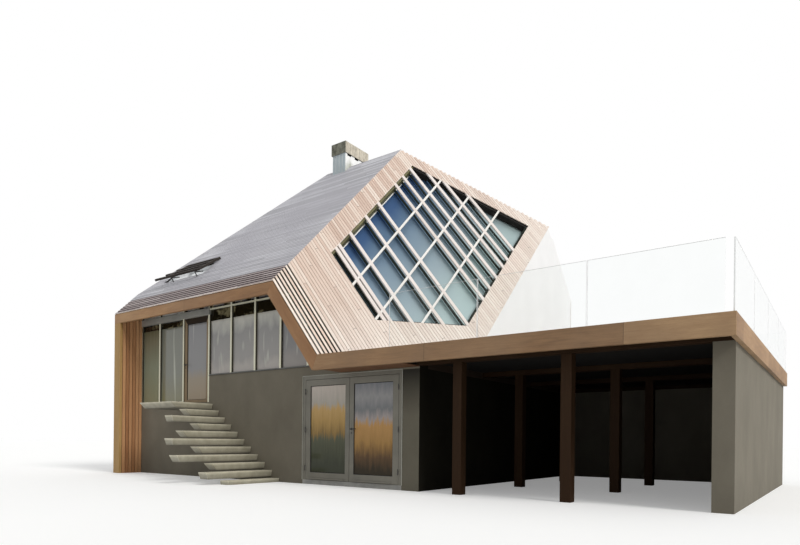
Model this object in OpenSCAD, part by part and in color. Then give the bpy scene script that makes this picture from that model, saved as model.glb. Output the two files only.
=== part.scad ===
// Beach house: a faceted timber shell on a rendered ground storey, with a
// roof deck, a cantilevered plank stair and a skewed window in the big face.
// The house frame has X along the front, Y into the house and Z up, with
// X = 0 at the left end wall, Y = 0 at the rendered front wall and Z = 0 at
// the ground. Everything is then moved so that the origin is below the middle.

/* [Plan] */
// Length of the house along the front
house_len = 10250; // [9800:10:11200]
// Depth from the rendered front wall to the back wall
house_depth = 8200; // [8000:10:9000]
// Length of the roof deck beyond the gable wall
deck_len = 5650; // [4400:10:7500]
// Overhang of the timber front in front of the rendered wall
overhang = 680; // [520:10:800]
// Thickness of the ground storey and gable walls
wall_t = 300; // [200:10:350]

/* [Levels] */
// Thickness of the ground slab
ground_slab_t = 100; // [80:5:140]
// Height of the entrance floor above the ground
entry_z = 1985; // [1960:5:2020]
// Height of the window sill above the ground
sill_z = 2695; // [2660:5:2800]
// Top of the main floor above the ground
main_floor_z = 2620; // [2600:5:2650]
// Top of the roof deck above the ground
deck_z = 2820; // [2800:5:2900]
// Height of the eave edge above the ground
eave_z = 4600; // [4500:10:4800]
// Thickness of the upper floors
floor_t = 150; // [120:5:160]

/* [Roof and faces] */
// Ridge position behind the rendered front wall
ridge_y = 4150; // [3900:10:4400]
// Place along the front where the roof meets the big face
face_x = 6680; // [6500:10:6900]
// Slope of the big face's lower edge in the front view
face_angle = 51.8; // [49:0.1:55]
// Place along the ridge where the left face begins
left_face_x = 3800; // [3500:10:4200]
// Where the hip of the left face meets the left wall, behind the front wall
left_hip_y = 10; // [-60:10:120]
// Thickness of the roof and face panels
panel_t = 300; // [220:5:340]
// Width in plan of the open slatted strip along the front edge
slat_strip = 460; // [400:10:640]
// Number of slats in the open strip
slat_count = 6; // [5:1:8]
// Width of a slat
slat_w = 70; // [50:1:80]
// Thickness of a slat
slat_t = 24; // [18:1:34]
// Width of the rafter tails that carry the slats
rafter_w = 60; // [45:1:80]
// Height of the rafter tails
rafter_h = 110; // [80:1:130]
// Distance of the first sloping rafter tail from the roof edge
face_rafter_first = 250; // [180:10:300]
// Spacing of the sloping rafter tails
face_rafter_pitch = 683; // [600:1:700]

/* [Fascia] */
// Thickness of the fascia boards
fascia_t = 80; // [50:1:100]
// Height of the eave fascia
eave_fascia_h = 290; // [240:5:320]
// Width of the raking fascia
rake_fascia_w = 320; // [280:5:360]
// Height of the deck fascia
deck_fascia_h = 330; // [310:5:345]
// Width of the end post and of the left wing wall
end_post_w = 300; // [250:5:340]

/* [Big window] */
// Width of the board border beside the roof edge
win_border_roof = 680; // [600:10:800]
// Distance from the raking edge to the window
win_border_rake = 2060; // [1900:10:2150]
// Border under the back roof edge
win_border_back = 450; // [380:10:520]
// Border beside the gable wall
win_border_gable = 373; // [340:1:420]
// Height of the window's bottom edge above the ground
win_bottom_z = 3740; // [3650:10:3850]
// Width of the fins that run down the window
fin_w = 88; // [70:1:95]
// Depth of the fins and of the bars that cross them
fin_d = 40; // [30:1:60]
// Width of the bars that cross the fins
cross_w = 55; // [45:1:70]
// Distance of the fins behind the board face
fin_inset = 5; // [0:1:20]
// Width of the window frame's edge
edge_w = 62; // [45:1:70]
// Width of the bars that hold the glass behind the fins
glass_bar_w = 80; // [60:1:90]
// Depth of the bars that hold the glass
glass_bar_d = 40; // [30:1:60]
// Distance of the glass behind the board face
glass_inset = 210; // [170:5:250]
// Clearance round the window's parts in their rebates, and under the slats
fit_gap = 0.3; // [0.2:0.05:0.6]
// Thickness of the window glass
glass_t = 24; // [12:1:30]

/* [Front windows] */
// Width of a window post
post_w = 60; // [45:1:70]
// Depth of a window post
post_d = 120; // [90:1:140]
// Spacing of the posts over the sill
post_pitch = 915; // [900:5:940]
// Height of the transom rail's underside above the ground
transom_z = 4425; // [4380:5:4450]
// Height of the transom rail
transom_h = 35; // [25:1:50]
// Underside of the metal header beam above the ground
header_z = 4295; // [4260:5:4320]
// Height of the metal header beam
header_h = 175; // [140:5:200]
// How far the header beam stands proud of the posts
header_lip = 30; // [10:1:60]
// Height of the windows' top rail and of the rail on the landing
rail_w = 50; // [35:1:60]
// Height of the rail on the sill
sill_rail_h = 20; // [15:1:40]
// Width of the stile beside the left wing
edge_stile = 20; // [15:1:40]
// Centre of the first post from the left end
first_post_x = 1210; // [1150:5:1300]
// Centre of the post on the left of the upper door
door_post_x = 2345; // [2300:5:2400]
// Centre of the post where the sill steps up
step_x = 3470; // [3440:5:3520]

/* [Upper door] */
// Width of the upper door's frame and stile at the lever side
upper_stile = 112; // [95:1:130]
// Width of the upper door's frame and stile at the hinge side
upper_hinge_stile = 95; // [80:1:120]
// Height of the upper door's sill and bottom rail
upper_bottom_rail = 80; // [60:5:120]
// Height of the upper door's top rail
upper_top_rail = 150; // [110:5:200]
// Height of the upper door's lever above its sill
upper_lever_z = 1050; // [950:10:1150]
// Set-back of the upper door behind the front of the posts
upper_door_inset = 25; // [10:1:40]

/* [Back windows] */
// Left end of the back window band
back_win_x = 4000; // [3800:10:4300]
// Width of the wall between the back windows and the gable wall
back_margin = 340; // [300:10:400]
// Height of the wall between the back windows and the roof
back_head_h = 576; // [500:1:700]

/* [Double door] */
// Width of the wall between the door frame and the house's corner
door_margin = 425; // [380:5:500]
// Width of the door frame
door_w = 2820; // [2700:5:2900]
// Top of the door frame above the ground
door_top_z = 2460; // [2420:5:2465]
// Width of the door frame's members
door_frame_w = 80; // [60:1:95]
// Thickness of a door leaf
leaf_t = 70; // [54:1:78]
// Depth of the door frame
door_frame_d = 120; // [90:1:150]
// Width of a leaf's stile at the hinges
leaf_stile = 145; // [120:1:180]
// Width of a leaf's stile where the leaves meet
meeting_stile = 116; // [100:1:130]
// Height of a leaf's bottom rail
leaf_bottom_rail = 165; // [120:1:220]
// Height of a leaf's top rail
leaf_top_rail = 137; // [110:1:160]
// Clearance round a leaf
leaf_gap = 8; // [6:1:10]
// Gap where the leaves meet
meeting_gap = 10; // [9:1:14]
// Height of the lever above the leaf's bottom edge
lever_z = 1146; // [950:1:1250]

/* [Stair] */
// Height of a riser
riser = 184; // [182:1:185]
// Going of a tread
going = 257; // [245:1:270]
// Thickness of a tread plank
tread_t = 150; // [110:1:160]
// Depth of a tread plank from front to back
tread_d = 300; // [275:1:320]
// Step down from the entrance floor to the landing
threshold_h = 55; // [40:5:90]
// Length of the landing along the wall
landing_len = 1420; // [1300:10:1500]
// Nosing of the landing along the front
landing_x = 3670; // [3600:10:3720]

/* [Deck] */
// Thickness of the deck slab over the main floor
deck_t = 200; // [160:5:210]
// Height of the balustrade glass
rail_h = 1030; // [950:5:1100]
// Thickness of the balustrade glass
rail_t = 20; // [14:1:24]
// Side of the square deck posts
pier_w = 190; // [140:5:220]
// Depth of the deck beams
beam_d = 110; // [90:5:130]
// First deck post from the gable wall, on centre
pier_start = 925; // [850:5:1000]
// Spacing of the deck posts
pier_pitch = 2125; // [2000:5:2200]
// Left end of the front balustrade
rail_x = 9970; // [9900:10:10050]
// Length of a front balustrade panel with its joint
rail_pitch = 1933; // [1900:1:1940]
// Joint between balustrade panels
rail_joint = 15; // [10:1:30]

/* [Chimney] */
// Width of the chimney along the ridge
chimney_w = 520; // [440:5:600]
// Length of the chimney across the ridge
chimney_len = 1040; // [900:5:1200]
// Height of the chimney cap's top above the ridge
chimney_h = 700; // [600:5:760]
// Height of the chimney cap
cap_h = 340; // [260:5:380]
// How far the cap stands proud of the chimney
cap_lip = 30; // [15:1:50]
// Width of the chimney's smoke slots
slot_w = 170; // [140:5:240]
// Height of the smoke slots under the cap
slot_h = 60; // [40:1:90]
// Place of the chimney along the ridge
chimney_x = 4210; // [4100:10:4400]
// How far the chimney's middle lies behind the ridge
chimney_back = 300; // [200:10:400]

/* [Roof flap] */
// Length of the roof window along the eave
flap_len = 2100; // [1800:10:2300]
// Length of the flap down the roof
flap_drop = 860; // [700:10:950]
// Distance of the flap's hinge line behind the front wall
flap_y = 800; // [700:10:900]
// Left end of the flap along the front
flap_x = 800; // [740:10:900]
// Angle by which the flap is propped open
flap_open = 10; // [8:1:16]
// Number of slats in the flap
flap_slats = 4; // [3:1:6]
// How much further left each slat of the flap starts than the one above it
flap_step = 200; // [150:10:240]
// Side of the flap's square bars
flap_bar = 60; // [40:1:70]
// Border between the flap's edge and the roof window
flap_border = 110; // [80:5:140]
// Depth of the roof window's glass below the roof
roof_glass_depth = 90; // [60:5:140]

/* [Hidden] */
$fn = 32;
big = 60000;
root2 = sqrt(2);
total_len = house_len + deck_len;
ridge_z = eave_z + overhang + ridge_y;
tread_count = 11;
// Outer ends of the treads, from the landing down
tread_len = [1220, 1160, 1740, 1200, 1770, 2200, 1770, 2250, 1790, 2070, 1660];
// How far each outer end leans in at the bottom
tread_undercut = [150, 150, 55, 150, 150, 55, 150, 90, 150, 60, 20];
nose_undercut = 30;
longest_tread = max(tread_len);
origin_shift = [-total_len / 2, -(house_depth - longest_tread) / 2, 0];

// The big face holds two directions: down along its raking edge, and back up the roof
along = [cos(face_angle), 0, -sin(face_angle)];
up = [0, 1, 1] / root2;
face_n = cross(along, up) / norm(cross(along, up));
face_across = cross(face_n, along);
face_origin = [face_x, -overhang, eave_z];
skew_c = along * up;
skew_s = sqrt(1 - skew_c * skew_c);

// The left face holds the hip line and the slope of the back roof
hip_top = [left_face_x, ridge_y, ridge_z];
hip_low = [0, left_hip_y, eave_z + overhang + left_hip_y];
left_cross = cross(hip_top - hip_low, [0, 1, -1]);
left_n = left_cross / norm(left_cross) * (left_cross.x > 0 ? -1 : 1);

front_roof_n = [0, -1, 1] / root2;
back_roof_n = [0, 1, 1] / root2;

door_right = house_len - door_margin;
door_x = door_right - door_w;
door_mid = door_x + door_w / 2;
wall_step_x = step_x + post_w / 2;
left_posts = [first_post_x, door_post_x, step_x];
sill_posts = [for (i = [1:5]) step_x + i * post_pitch];
base_top = main_floor_z - floor_t;
entry_base = entry_z - floor_t;

// The open strip's slats, measured up the roof slope from the eave edge
slat_pitch = slat_strip * root2 / slat_count;
face_rafter_s = [for (i = [0:3]) face_rafter_first + i * face_rafter_pitch];

// Leaves of the double door
leaf_w = (door_w - 2 * door_frame_w - 2 * leaf_gap - meeting_gap) / 2;
leaf_h = door_top_z - ground_slab_t - door_frame_w - 2 * leaf_gap;
hinge_r = 9;
hinge_len = 60;
hinge_gap = 0.5;
hinge_out = 12;
hinge_plate = 34;
hinge_ends = 260;
hinge_z = [hinge_ends, leaf_h / 2, leaf_h - hinge_ends];

// Levers
rose_r = 26;
rose_t = 10;
lever_r = 10;
lever_out = 55;
lever_len = 165;
key_drop = 87;

// Windows at the back
back_bays = floor((house_len - wall_t - back_margin - back_win_x) / post_pitch);
back_win_w = back_bays * post_pitch + post_w;
back_plate_z = ridge_z - (house_depth - ridge_y) - panel_t * root2;
back_win_top = back_plate_z - back_head_h;
back_inset = 90;

// Deck
under_deck = deck_z - deck_t;
beam_z = under_deck - beam_d;
beam_y = [for (i = [0:3]) i * (house_depth - wall_t / 2) / 3];
pier_x = [for (i = [0:1]) house_len + pier_start + i * pier_pitch];

landing_z = entry_z - threshold_h;
cap_z = ridge_z + chimney_h - cap_h;
chimney_y = ridge_y + chimney_back;

// Everything on the inner side of a plane through p with outward normal n
module inside(p, n, inset = 0) {
    translate(p - inset * n)
        rotate([0, acos(n.z), atan2(n.y, n.x)])
            translate([-big / 2, -big / 2, -big])
                cube(big);
}

// The house's outer volume, with each outer plane moved in by its own inset
module volume(front = 0, back = 0, left = 0, right = 0,
              roof_front = 0, roof_back = 0, face = 0, left_face = 0,
              low = 0, high = big / 2) {
    intersection() {
        translate([left, -overhang + front, low])
            cube([house_len - left - right,
                  house_depth + overhang - front - back, high - low]);
        inside(face_origin, front_roof_n, roof_front);
        inside(hip_top, back_roof_n, roof_back);
        inside(face_origin, face_n, face);
        inside(hip_top, left_n, left_face);
    }
}

module placed() {
    translate(origin_shift) children();
}

// Puts a flat drawing on the big face: x runs down the rake, y up across it
module on_face(depth = 0) {
    o = face_origin - depth * face_n;
    multmatrix([
        [along.x, face_across.x, face_n.x, o.x],
        [along.y, face_across.y, face_n.y, o.y],
        [along.z, face_across.z, face_n.z, o.z],
        [0, 0, 0, 1]
    ]) children();
}

// A point of the big face: s down along the rake, t back up the roof slope
function face_pt(s, t) = [s + t * skew_c, t * skew_s];

// Where the window's edges lie, in the face's skewed coordinates
win_s0 = win_border_roof;
win_s1 = (house_len - win_border_gable - face_x) / along.x;
win_t0 = win_border_rake;
function t_under_back_roof(s, border) =
    ((ridge_y + ridge_z) - border * root2 - (eave_z - overhang) - s * along.z) / root2;
function t_at_height(s, z) = (z - eave_z - s * along.z) / up.z;
function s_at_height(t, z) = (z - eave_z - t * up.z) / along.z;
function win_pts(gap) =
    let (s0 = win_s0 + gap, s1 = win_s1 - gap, t0 = win_t0 + gap,
         z0 = win_bottom_z + gap, b = win_border_back + gap)
    [
        face_pt(s0, t0),
        face_pt(s_at_height(t0, z0), t0),
        face_pt(s1, t_at_height(s1, z0)),
        face_pt(s1, t_under_back_roof(s1, b)),
        face_pt(s0, t_under_back_roof(s0, b))
    ];
// Places of the fins that run down the face, and of the bars that run up it
down_bars = [2300, 2450, 3020, 3870, 4580, 5640, 6120, 6610, 7120, 7470, 7960];
up_bar_pitch = (win_s1 - win_s0) / 4;

module window_outline(gap = 0) {
    polygon(win_pts(gap));
}

module edge_bar(a, b, w) {
    d = (b - a) / norm(b - a);
    translate(a) rotate(atan2(d.y, d.x)) translate([-w, -w])
        square([norm(b - a) + 2 * w, 2 * w]);
}

module edge_bars() {
    corners = win_pts(fit_gap);
    for (i = [0:4]) edge_bar(corners[i], corners[(i + 1) % 5], edge_w);
}

module down_strips(w) {
    for (t = down_bars)
        translate([-big / 2, t * skew_s - w / 2]) square([big, w]);
}

module cross_strips() {
    for (i = [1:3])
        translate(face_pt(win_s0 + i * up_bar_pitch, 0))
            rotate(acos(skew_c))
                translate([0, -cross_w / 2]) square([big / 2, cross_w]);
}

// Cuts strips to the window's rebate, from the front depth back to the back depth
module window_layer(front, back) {
    on_face(back)
        linear_extrude(back - front)
            intersection() {
                window_outline(fit_gap);
                union() children();
            }
}

// Draws a front view profile as a wall that ends at the given Y
module upright(back_y, thickness) {
    translate([0, back_y, 0]) rotate([90, 0, 0])
        linear_extrude(thickness) children();
}

// The band between two distances behind the fascia's front
module front_band(from, to) {
    translate([-big / 4, -overhang + from, 0]) cube([big / 2, to - from, big / 2]);
}

// Ground storey
module ground_floor() {
    color("darkgray") placed() {
        translate([wall_t, wall_t, 0])
            cube([house_len - 2 * wall_t, house_depth - 2 * wall_t, ground_slab_t]);
        translate([door_x, 0, 0]) cube([door_w, wall_t, ground_slab_t]);
    }
}

module front_wall() {
    color("dimgray") placed()
        upright(wall_t, wall_t)
            polygon([
                [0, 0], [door_x, 0], [door_x, sill_z], [wall_step_x, sill_z],
                [wall_step_x, entry_z], [0, entry_z]
            ]);
}

module front_wall_over_door() {
    color("dimgray") placed() {
        translate([door_x, 0, door_top_z])
            cube([house_len - door_x, wall_t, main_floor_z - door_top_z]);
        intersection() {
            translate([door_x, 0, door_top_z])
                cube([house_len - door_x, wall_t, sill_z - door_top_z]);
            volume(face = panel_t);
        }
    }
}

module front_wall_right() {
    color("dimgray") placed()
        translate([door_right, 0, 0])
            cube([house_len - door_right, wall_t, door_top_z]);
}

module gable_wall_base() {
    color("dimgray") placed()
        translate([house_len - wall_t, wall_t, 0])
            cube([wall_t, house_depth - wall_t, base_top]);
}

module back_wall_base() {
    color("dimgray") placed()
        upright(house_depth, wall_t)
            polygon([
                [0, 0], [house_len - wall_t, 0], [house_len - wall_t, base_top],
                [wall_step_x, base_top], [wall_step_x, entry_base], [0, entry_base]
            ]);
}

module left_wall_base() {
    color("dimgray") placed()
        translate([0, wall_t, 0])
            cube([wall_t, house_depth - 2 * wall_t, entry_base]);
}

// Upper floors, at two levels with an edge beam where the floor steps up
module entry_floor() {
    color("tan") placed()
        translate([0, wall_t, entry_base])
            cube([wall_step_x, house_depth - wall_t, floor_t]);
}

module main_floor() {
    color("tan") placed() {
        translate([wall_step_x, wall_t, base_top])
            cube([house_len - wall_step_x, house_depth - wall_t, floor_t]);
        translate([wall_step_x, wall_t, entry_base])
            cube([floor_t, house_depth - 2 * wall_t, base_top - entry_base]);
    }
}

// Walls of the timber shell
module left_wall() {
    color("peru") placed()
        intersection() {
            volume(front = overhang, roof_front = panel_t, left_face = panel_t,
                   low = entry_z);
            translate([0, 0, entry_z]) cube([end_post_w, house_depth, big / 2]);
        }
}

module left_wing() {
    color("peru") placed()
        intersection() {
            translate([0, -overhang, 0]) cube([end_post_w, overhang, big / 2]);
            union() {
                intersection() {
                    volume(front = fascia_t, roof_front = slat_t + fit_gap);
                    front_band(0, slat_strip);
                }
                volume(front = slat_strip, roof_front = panel_t);
            }
        }
}

module back_wall() {
    color("burlywood") placed()
        difference() {
            intersection() {
                volume(roof_back = panel_t, right = wall_t, left_face = panel_t);
                upright(house_depth, wall_t)
                    polygon([
                        [0, entry_z], [wall_step_x, entry_z], [wall_step_x, main_floor_z],
                        [house_len, main_floor_z], [house_len, ridge_z], [0, ridge_z]
                    ]);
            }
            translate([back_win_x, house_depth - 2 * wall_t, sill_z])
                cube([back_win_w, 3 * wall_t, back_win_top - sill_z]);
        }
}

module gable_wall() {
    color("white") placed()
        intersection() {
            volume(face = panel_t, low = main_floor_z);
            translate([house_len - wall_t, 0, main_floor_z])
                cube([wall_t, house_depth, big / 2]);
        }
}

// Roof and face panels
module front_roof() {
    color("slategray") placed()
        difference() {
            union() {
                intersection() {
                    volume(front = slat_strip, face = panel_t);
                    front_band(0, overhang);
                }
                volume(front = overhang, face = panel_t, left_face = panel_t);
            }
            inside(face_origin, front_roof_n, panel_t);
            roof_window_hole();
        }
}

module back_roof() {
    color("slategray") placed()
        difference() {
            volume(front = overhang, roof_front = panel_t, face = panel_t,
                   right = wall_t, left_face = panel_t);
            inside(hip_top, back_roof_n, panel_t);
        }
}

module left_face() {
    color("burlywood") placed()
        difference() {
            volume(front = overhang, low = entry_z);
            inside(hip_top, left_n, panel_t);
            roof_window_hole();
        }
}

module big_face() {
    color("burlywood") placed()
        difference() {
            volume(front = slat_strip, low = main_floor_z);
            inside(face_origin, face_n, panel_t);
            on_face(panel_t * 2) linear_extrude(panel_t * 3) window_outline();
        }
}

// The skewed fins, and the frame behind them that holds the glass
module big_window_fins() {
    color("wheat") placed()
        window_layer(fin_inset, fin_inset + fin_d) {
            down_strips(fin_w);
            cross_strips();
        }
}

module big_window_frame() {
    color("dimgray") placed() {
        window_layer(fin_inset + fin_d + fit_gap, glass_inset) edge_bars();
        window_layer(glass_inset - glass_bar_d, glass_inset) down_strips(glass_bar_w);
    }
}

module big_window_glass() {
    color("lightblue") placed()
        on_face(glass_inset + fit_gap + glass_t)
            linear_extrude(glass_t) window_outline(fit_gap);
}

// Open slatted strip along the eave and beside the raking edge
module eave_slats() {
    color("gray") placed()
        intersection() {
            volume(face = slat_t);
            front_band(0, slat_strip);
            translate([0, -overhang, eave_z]) rotate([45, 0, 0])
                for (i = [0:slat_count - 1])
                    translate([0, i * slat_pitch, -slat_t])
                        cube([house_len, slat_w, slat_t]);
        }
}

module eave_rafters() {
    color("peru") placed()
        intersection() {
            front_band(fascia_t, slat_strip);
            difference() {
                volume(roof_front = slat_t);
                inside(face_origin, front_roof_n, slat_t + rafter_h);
            }
            for (x = concat(left_posts, sill_posts))
                if (x < face_x - rafter_w)
                    translate([x - rafter_w / 2, -overhang, 0])
                        cube([rafter_w, overhang, big / 2]);
        }
}

module face_slats() {
    color("burlywood") placed()
        intersection() {
            volume(low = deck_z);
            front_band(0, slat_strip);
            on_face(slat_t) linear_extrude(slat_t)
                for (i = [0:slat_count - 1])
                    translate([-big / 4, i * slat_pitch * skew_s])
                        square([big / 2, slat_w * skew_s]);
        }
}

module face_rafters() {
    color("peru") placed()
        intersection() {
            volume(roof_front = slat_t, low = deck_z);
            front_band(fascia_t, slat_strip);
            on_face(slat_t + rafter_h) linear_extrude(rafter_h)
                for (s = face_rafter_s)
                    translate(face_pt(s, 0)) rotate(acos(skew_c))
                        translate([-big / 8, -rafter_w / 2]) square([big / 4, rafter_w]);
        }
}

// Timber fascia round the front
function rake_x(z, w) = face_x + ((eave_z - z) * cos(face_angle) - w) / sin(face_angle);
eave_low = eave_z - eave_fascia_h;
deck_low = deck_z - deck_fascia_h;

module eave_fascia() {
    color("sienna") placed()
        intersection() {
            volume(roof_front = slat_t + fit_gap, face = slat_t + fit_gap);
            upright(fascia_t - overhang, fascia_t)
                polygon([
                    [0, ridge_z], [face_x, ridge_z], [face_x, eave_z],
                    [rake_x(eave_low, rake_fascia_w), eave_low], [0, eave_low]
                ]);
        }
}

module raking_fascia() {
    color("sienna") placed()
        intersection() {
            volume(roof_front = slat_t + fit_gap, face = slat_t + fit_gap);
            upright(fascia_t - overhang, fascia_t)
                polygon([
                    [face_x, ridge_z], [house_len, ridge_z], [house_len, deck_z],
                    [rake_x(deck_z, 0), deck_z],
                    [rake_x(deck_low, rake_fascia_w), deck_low],
                    [rake_x(eave_low, rake_fascia_w), eave_low], [face_x, eave_z]
                ]);
        }
}

module end_post() {
    color("sienna") placed()
        translate([0, -overhang, 0]) cube([end_post_w, fascia_t, eave_low]);
}

module deck_fascia() {
    color("sienna") placed() {
        upright(fascia_t - overhang, fascia_t)
            polygon([
                [rake_x(deck_z, 0), deck_z], [total_len, deck_z],
                [total_len, deck_low], [rake_x(deck_low, rake_fascia_w), deck_low]
            ]);
        translate([total_len - fascia_t, -overhang, deck_low])
            cube([fascia_t, house_depth + overhang, deck_fascia_h]);
    }
}

// Front windows: a timber frame of posts and rails, with panes between them
module front_window_panel() {
    intersection() {
        upright(post_d, post_d)
            polygon([
                [end_post_w, entry_z], [wall_step_x, entry_z], [wall_step_x, sill_z],
                [house_len, sill_z], [house_len, ridge_z], [end_post_w, ridge_z]
            ]);
        volume(front = overhang, roof_front = panel_t, face = panel_t);
    }
}

// One pane's block, between two uprights and two heights
module pane(x0, x1, z0, z1, y0, depth) {
    translate([x0, y0, z0]) cube([x1 - x0, depth, z1 - z0]);
}

module front_panes(y0, depth) {
    half = post_w / 2;
    intersection() {
        union() {
            pane(end_post_w + edge_stile, first_post_x - half,
                 entry_z + rail_w, header_z, y0, depth);
            pane(first_post_x + half, door_post_x - half,
                 entry_z + rail_w, header_z, y0, depth);
            for (i = [0:2])
                pane(i == 0 ? end_post_w + edge_stile : left_posts[i - 1] + half,
                     left_posts[i] - half, header_z + header_h, ridge_z, y0, depth);
            for (x = sill_posts) {
                pane(x - post_pitch + half, x - half,
                     sill_z + sill_rail_h, transom_z, y0, depth);
                pane(x - post_pitch + half, x - half,
                     transom_z + transom_h, ridge_z, y0, depth);
            }
        }
        volume(front = fascia_t, roof_front = panel_t + rail_w, face = panel_t + rail_w);
    }
}

module header_block() {
    translate([end_post_w, -header_lip, header_z])
        cube([wall_step_x - end_post_w, post_d + header_lip, header_h]);
}

// The doorway between the posts beside the upper door
module upper_doorway(y0, depth) {
    pane(door_post_x + post_w / 2, step_x - post_w / 2, entry_z, header_z, y0, depth);
}

module front_window_frame() {
    color("wheat") placed()
        difference() {
            front_window_panel();
            front_panes(-post_d, post_d * 3);
            upper_doorway(-post_d, post_d * 3);
            header_block();
        }
}

module front_window_glass() {
    color("lightblue") placed() front_panes((post_d - glass_t) / 2, glass_t);
}

module header_beam() {
    color("silver") placed() header_block();
}

// A lever on a round rose, standing out towards -Y and pointing along X
module lever() {
    rotate([90, 0, 0]) cylinder(r = rose_r, h = rose_t);
    rotate([90, 0, 0]) cylinder(r = lever_r, h = lever_out);
    translate([0, -lever_out, 0]) rotate([0, 90, 0]) cylinder(r = lever_r, h = lever_len);
    translate([0, -lever_out, 0]) sphere(r = lever_r);
    translate([0, 0, -key_drop]) rotate([90, 0, 0]) cylinder(r = rose_r / 2, h = rose_t);
}

module upper_pane(y0, depth) {
    pane(door_post_x + post_w / 2 + upper_stile, step_x - post_w / 2 - upper_hinge_stile,
         entry_z + upper_bottom_rail, header_z - upper_top_rail, y0, depth);
}

module upper_door() {
    color("saddlebrown") placed() {
        difference() {
            upper_doorway(upper_door_inset, leaf_t);
            upper_pane(0, post_d);
        }
        translate([door_post_x + (post_w + upper_stile) / 2, upper_door_inset,
                   entry_z + upper_lever_z])
            lever();
    }
}

module upper_door_glass() {
    color("lightblue") placed()
        upper_pane(upper_door_inset + (leaf_t - glass_t) / 2, glass_t);
}

// Back windows
module back_panes(y0, depth) {
    for (i = [0:back_bays - 1])
        pane(back_win_x + i * post_pitch + post_w, back_win_x + (i + 1) * post_pitch,
             sill_z + rail_w, back_win_top - rail_w, y0, depth);
}

module back_window_frame() {
    color("wheat") placed()
        difference() {
            translate([back_win_x, house_depth - back_inset - post_d, sill_z])
                cube([back_win_w, post_d, back_win_top - sill_z]);
            back_panes(house_depth - 2 * wall_t, 3 * wall_t);
        }
}

module back_window_glass() {
    color("lightblue") placed()
        back_panes(house_depth - back_inset - (post_d + glass_t) / 2, glass_t);
}

// Roof deck beside the house and in front of the big face
module deck_slab() {
    color("rosybrown") placed() {
        translate([house_len, fascia_t - overhang, under_deck])
            cube([deck_len - fascia_t, house_depth + overhang - fascia_t, deck_t]);
        difference() {
            translate([face_x, fascia_t - overhang, under_deck])
                cube([house_len - face_x, house_depth / 2, deck_t]);
            inside(face_origin, face_n);
        }
    }
}

module deck_beams() {
    color("sienna") placed()
        for (y = beam_y)
            translate([house_len, y - pier_w / 2, beam_z])
                cube([deck_len - fascia_t, pier_w, beam_d]);
}

module deck_posts() {
    color("sienna") placed()
        for (x = pier_x, i = [0:2])
            translate([x - pier_w / 2, beam_y[i] - pier_w / 2, 0])
                cube([pier_w, pier_w, beam_z]);
}

module deck_end_wall() {
    color("dimgray") placed()
        translate([total_len - fascia_t - wall_t, -pier_w / 2, 0])
            cube([wall_t, house_depth + pier_w / 2, beam_z]);
}

module deck_back_wall() {
    color("dimgray") placed()
        translate([house_len, house_depth - wall_t, 0])
            cube([deck_len - fascia_t - wall_t, wall_t, beam_z]);
}

module glass_run(length, count) {
    panel = length / count;
    for (i = [0:count - 1])
        translate([i * panel, -rail_t / 2, 0])
            cube([panel - rail_joint, rail_t, rail_h]);
}

module balustrade_glass() {
    color("lightcyan") placed() {
        translate([rail_x, fascia_t / 2 - overhang, deck_z]) glass_run(3 * rail_pitch, 3);
        translate([total_len - fascia_t / 2, fascia_t - overhang, deck_z])
            rotate([0, 0, 90]) glass_run(house_depth + overhang - fascia_t, 4);
        translate([house_len, house_depth - fascia_t / 2, deck_z])
            glass_run(deck_len - fascia_t, 3);
    }
}

// Chimney astride the ridge
module chimney_block(lip, z0, z1) {
    translate([chimney_x - lip, chimney_y - chimney_len / 2 - lip, z0])
        cube([chimney_w + 2 * lip, chimney_len + 2 * lip, z1 - z0]);
}

module chimney_stack() {
    color("lightslategray") placed()
        difference() {
            chimney_block(0, ridge_z - chimney_len, cap_z);
            volume();
            for (i = [-1:1])
                translate([chimney_x - slot_h, chimney_y + i * chimney_len / 3 - slot_w / 2,
                           cap_z - slot_h])
                    cube([chimney_w + 2 * slot_h, slot_w, 2 * slot_h]);
        }
}

module chimney_cap() {
    color("tan") placed()
        difference() {
            chimney_block(cap_lip, cap_z, cap_z + cap_h);
            chimney_block(-cap_lip, cap_z + cap_h / 2, cap_z + cap_h * 2);
        }
}

// Propped roof flap over its window; the drawing hangs down the roof from y = 0
module on_flap(open = 0) {
    translate([flap_x, flap_y, eave_z + overhang + flap_y]) rotate([45 - open, 0, 0])
        children();
}

module roof_window_block(border, depth, thickness) {
    translate([border, border - flap_drop, -depth])
        cube([flap_len - 2 * border, flap_drop - 2 * border, thickness]);
}

module roof_window_hole() {
    on_flap() roof_window_block(flap_border, panel_t * 2, panel_t * 3);
}

module roof_window() {
    color("lightblue") placed()
        on_flap() roof_window_block(flap_border + fit_gap, roof_glass_depth, glass_t);
}

module roof_flap() {
    slat_step = (flap_drop - flap_bar) / (flap_slats - 1);
    short = (flap_slats - 1) * flap_step;
    color("dimgray") placed() on_flap(flap_open) {
        for (x = [short, flap_len - flap_bar])
            translate([x, -flap_drop, 0]) cube([flap_bar, flap_drop, flap_bar]);
        for (i = [0:flap_slats - 1])
            translate([short - i * flap_step, -flap_bar - i * slat_step, 0])
                cube([flap_len - short + i * flap_step, flap_bar, flap_bar]);
    }
}

// Double door, each leaf drawn from its hinge edge and bottom
module at_left_leaf() {
    translate([door_x + door_frame_w + leaf_gap, 0, ground_slab_t + leaf_gap]) children();
}

module at_right_leaf() {
    translate([door_right - door_frame_w - leaf_gap, 0, ground_slab_t + leaf_gap])
        mirror([1, 0, 0]) children();
}

// A hinge knuckle from one height to another, with its plate on one side
module knuckle(z0, z1, side) {
    translate([-leaf_gap / 2, -hinge_out, z0]) {
        cylinder(r = hinge_r, h = z1 - z0);
        translate([side < 0 ? -hinge_plate : 0, 0, 0])
            cube([hinge_plate, hinge_out, z1 - z0]);
    }
}

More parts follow.
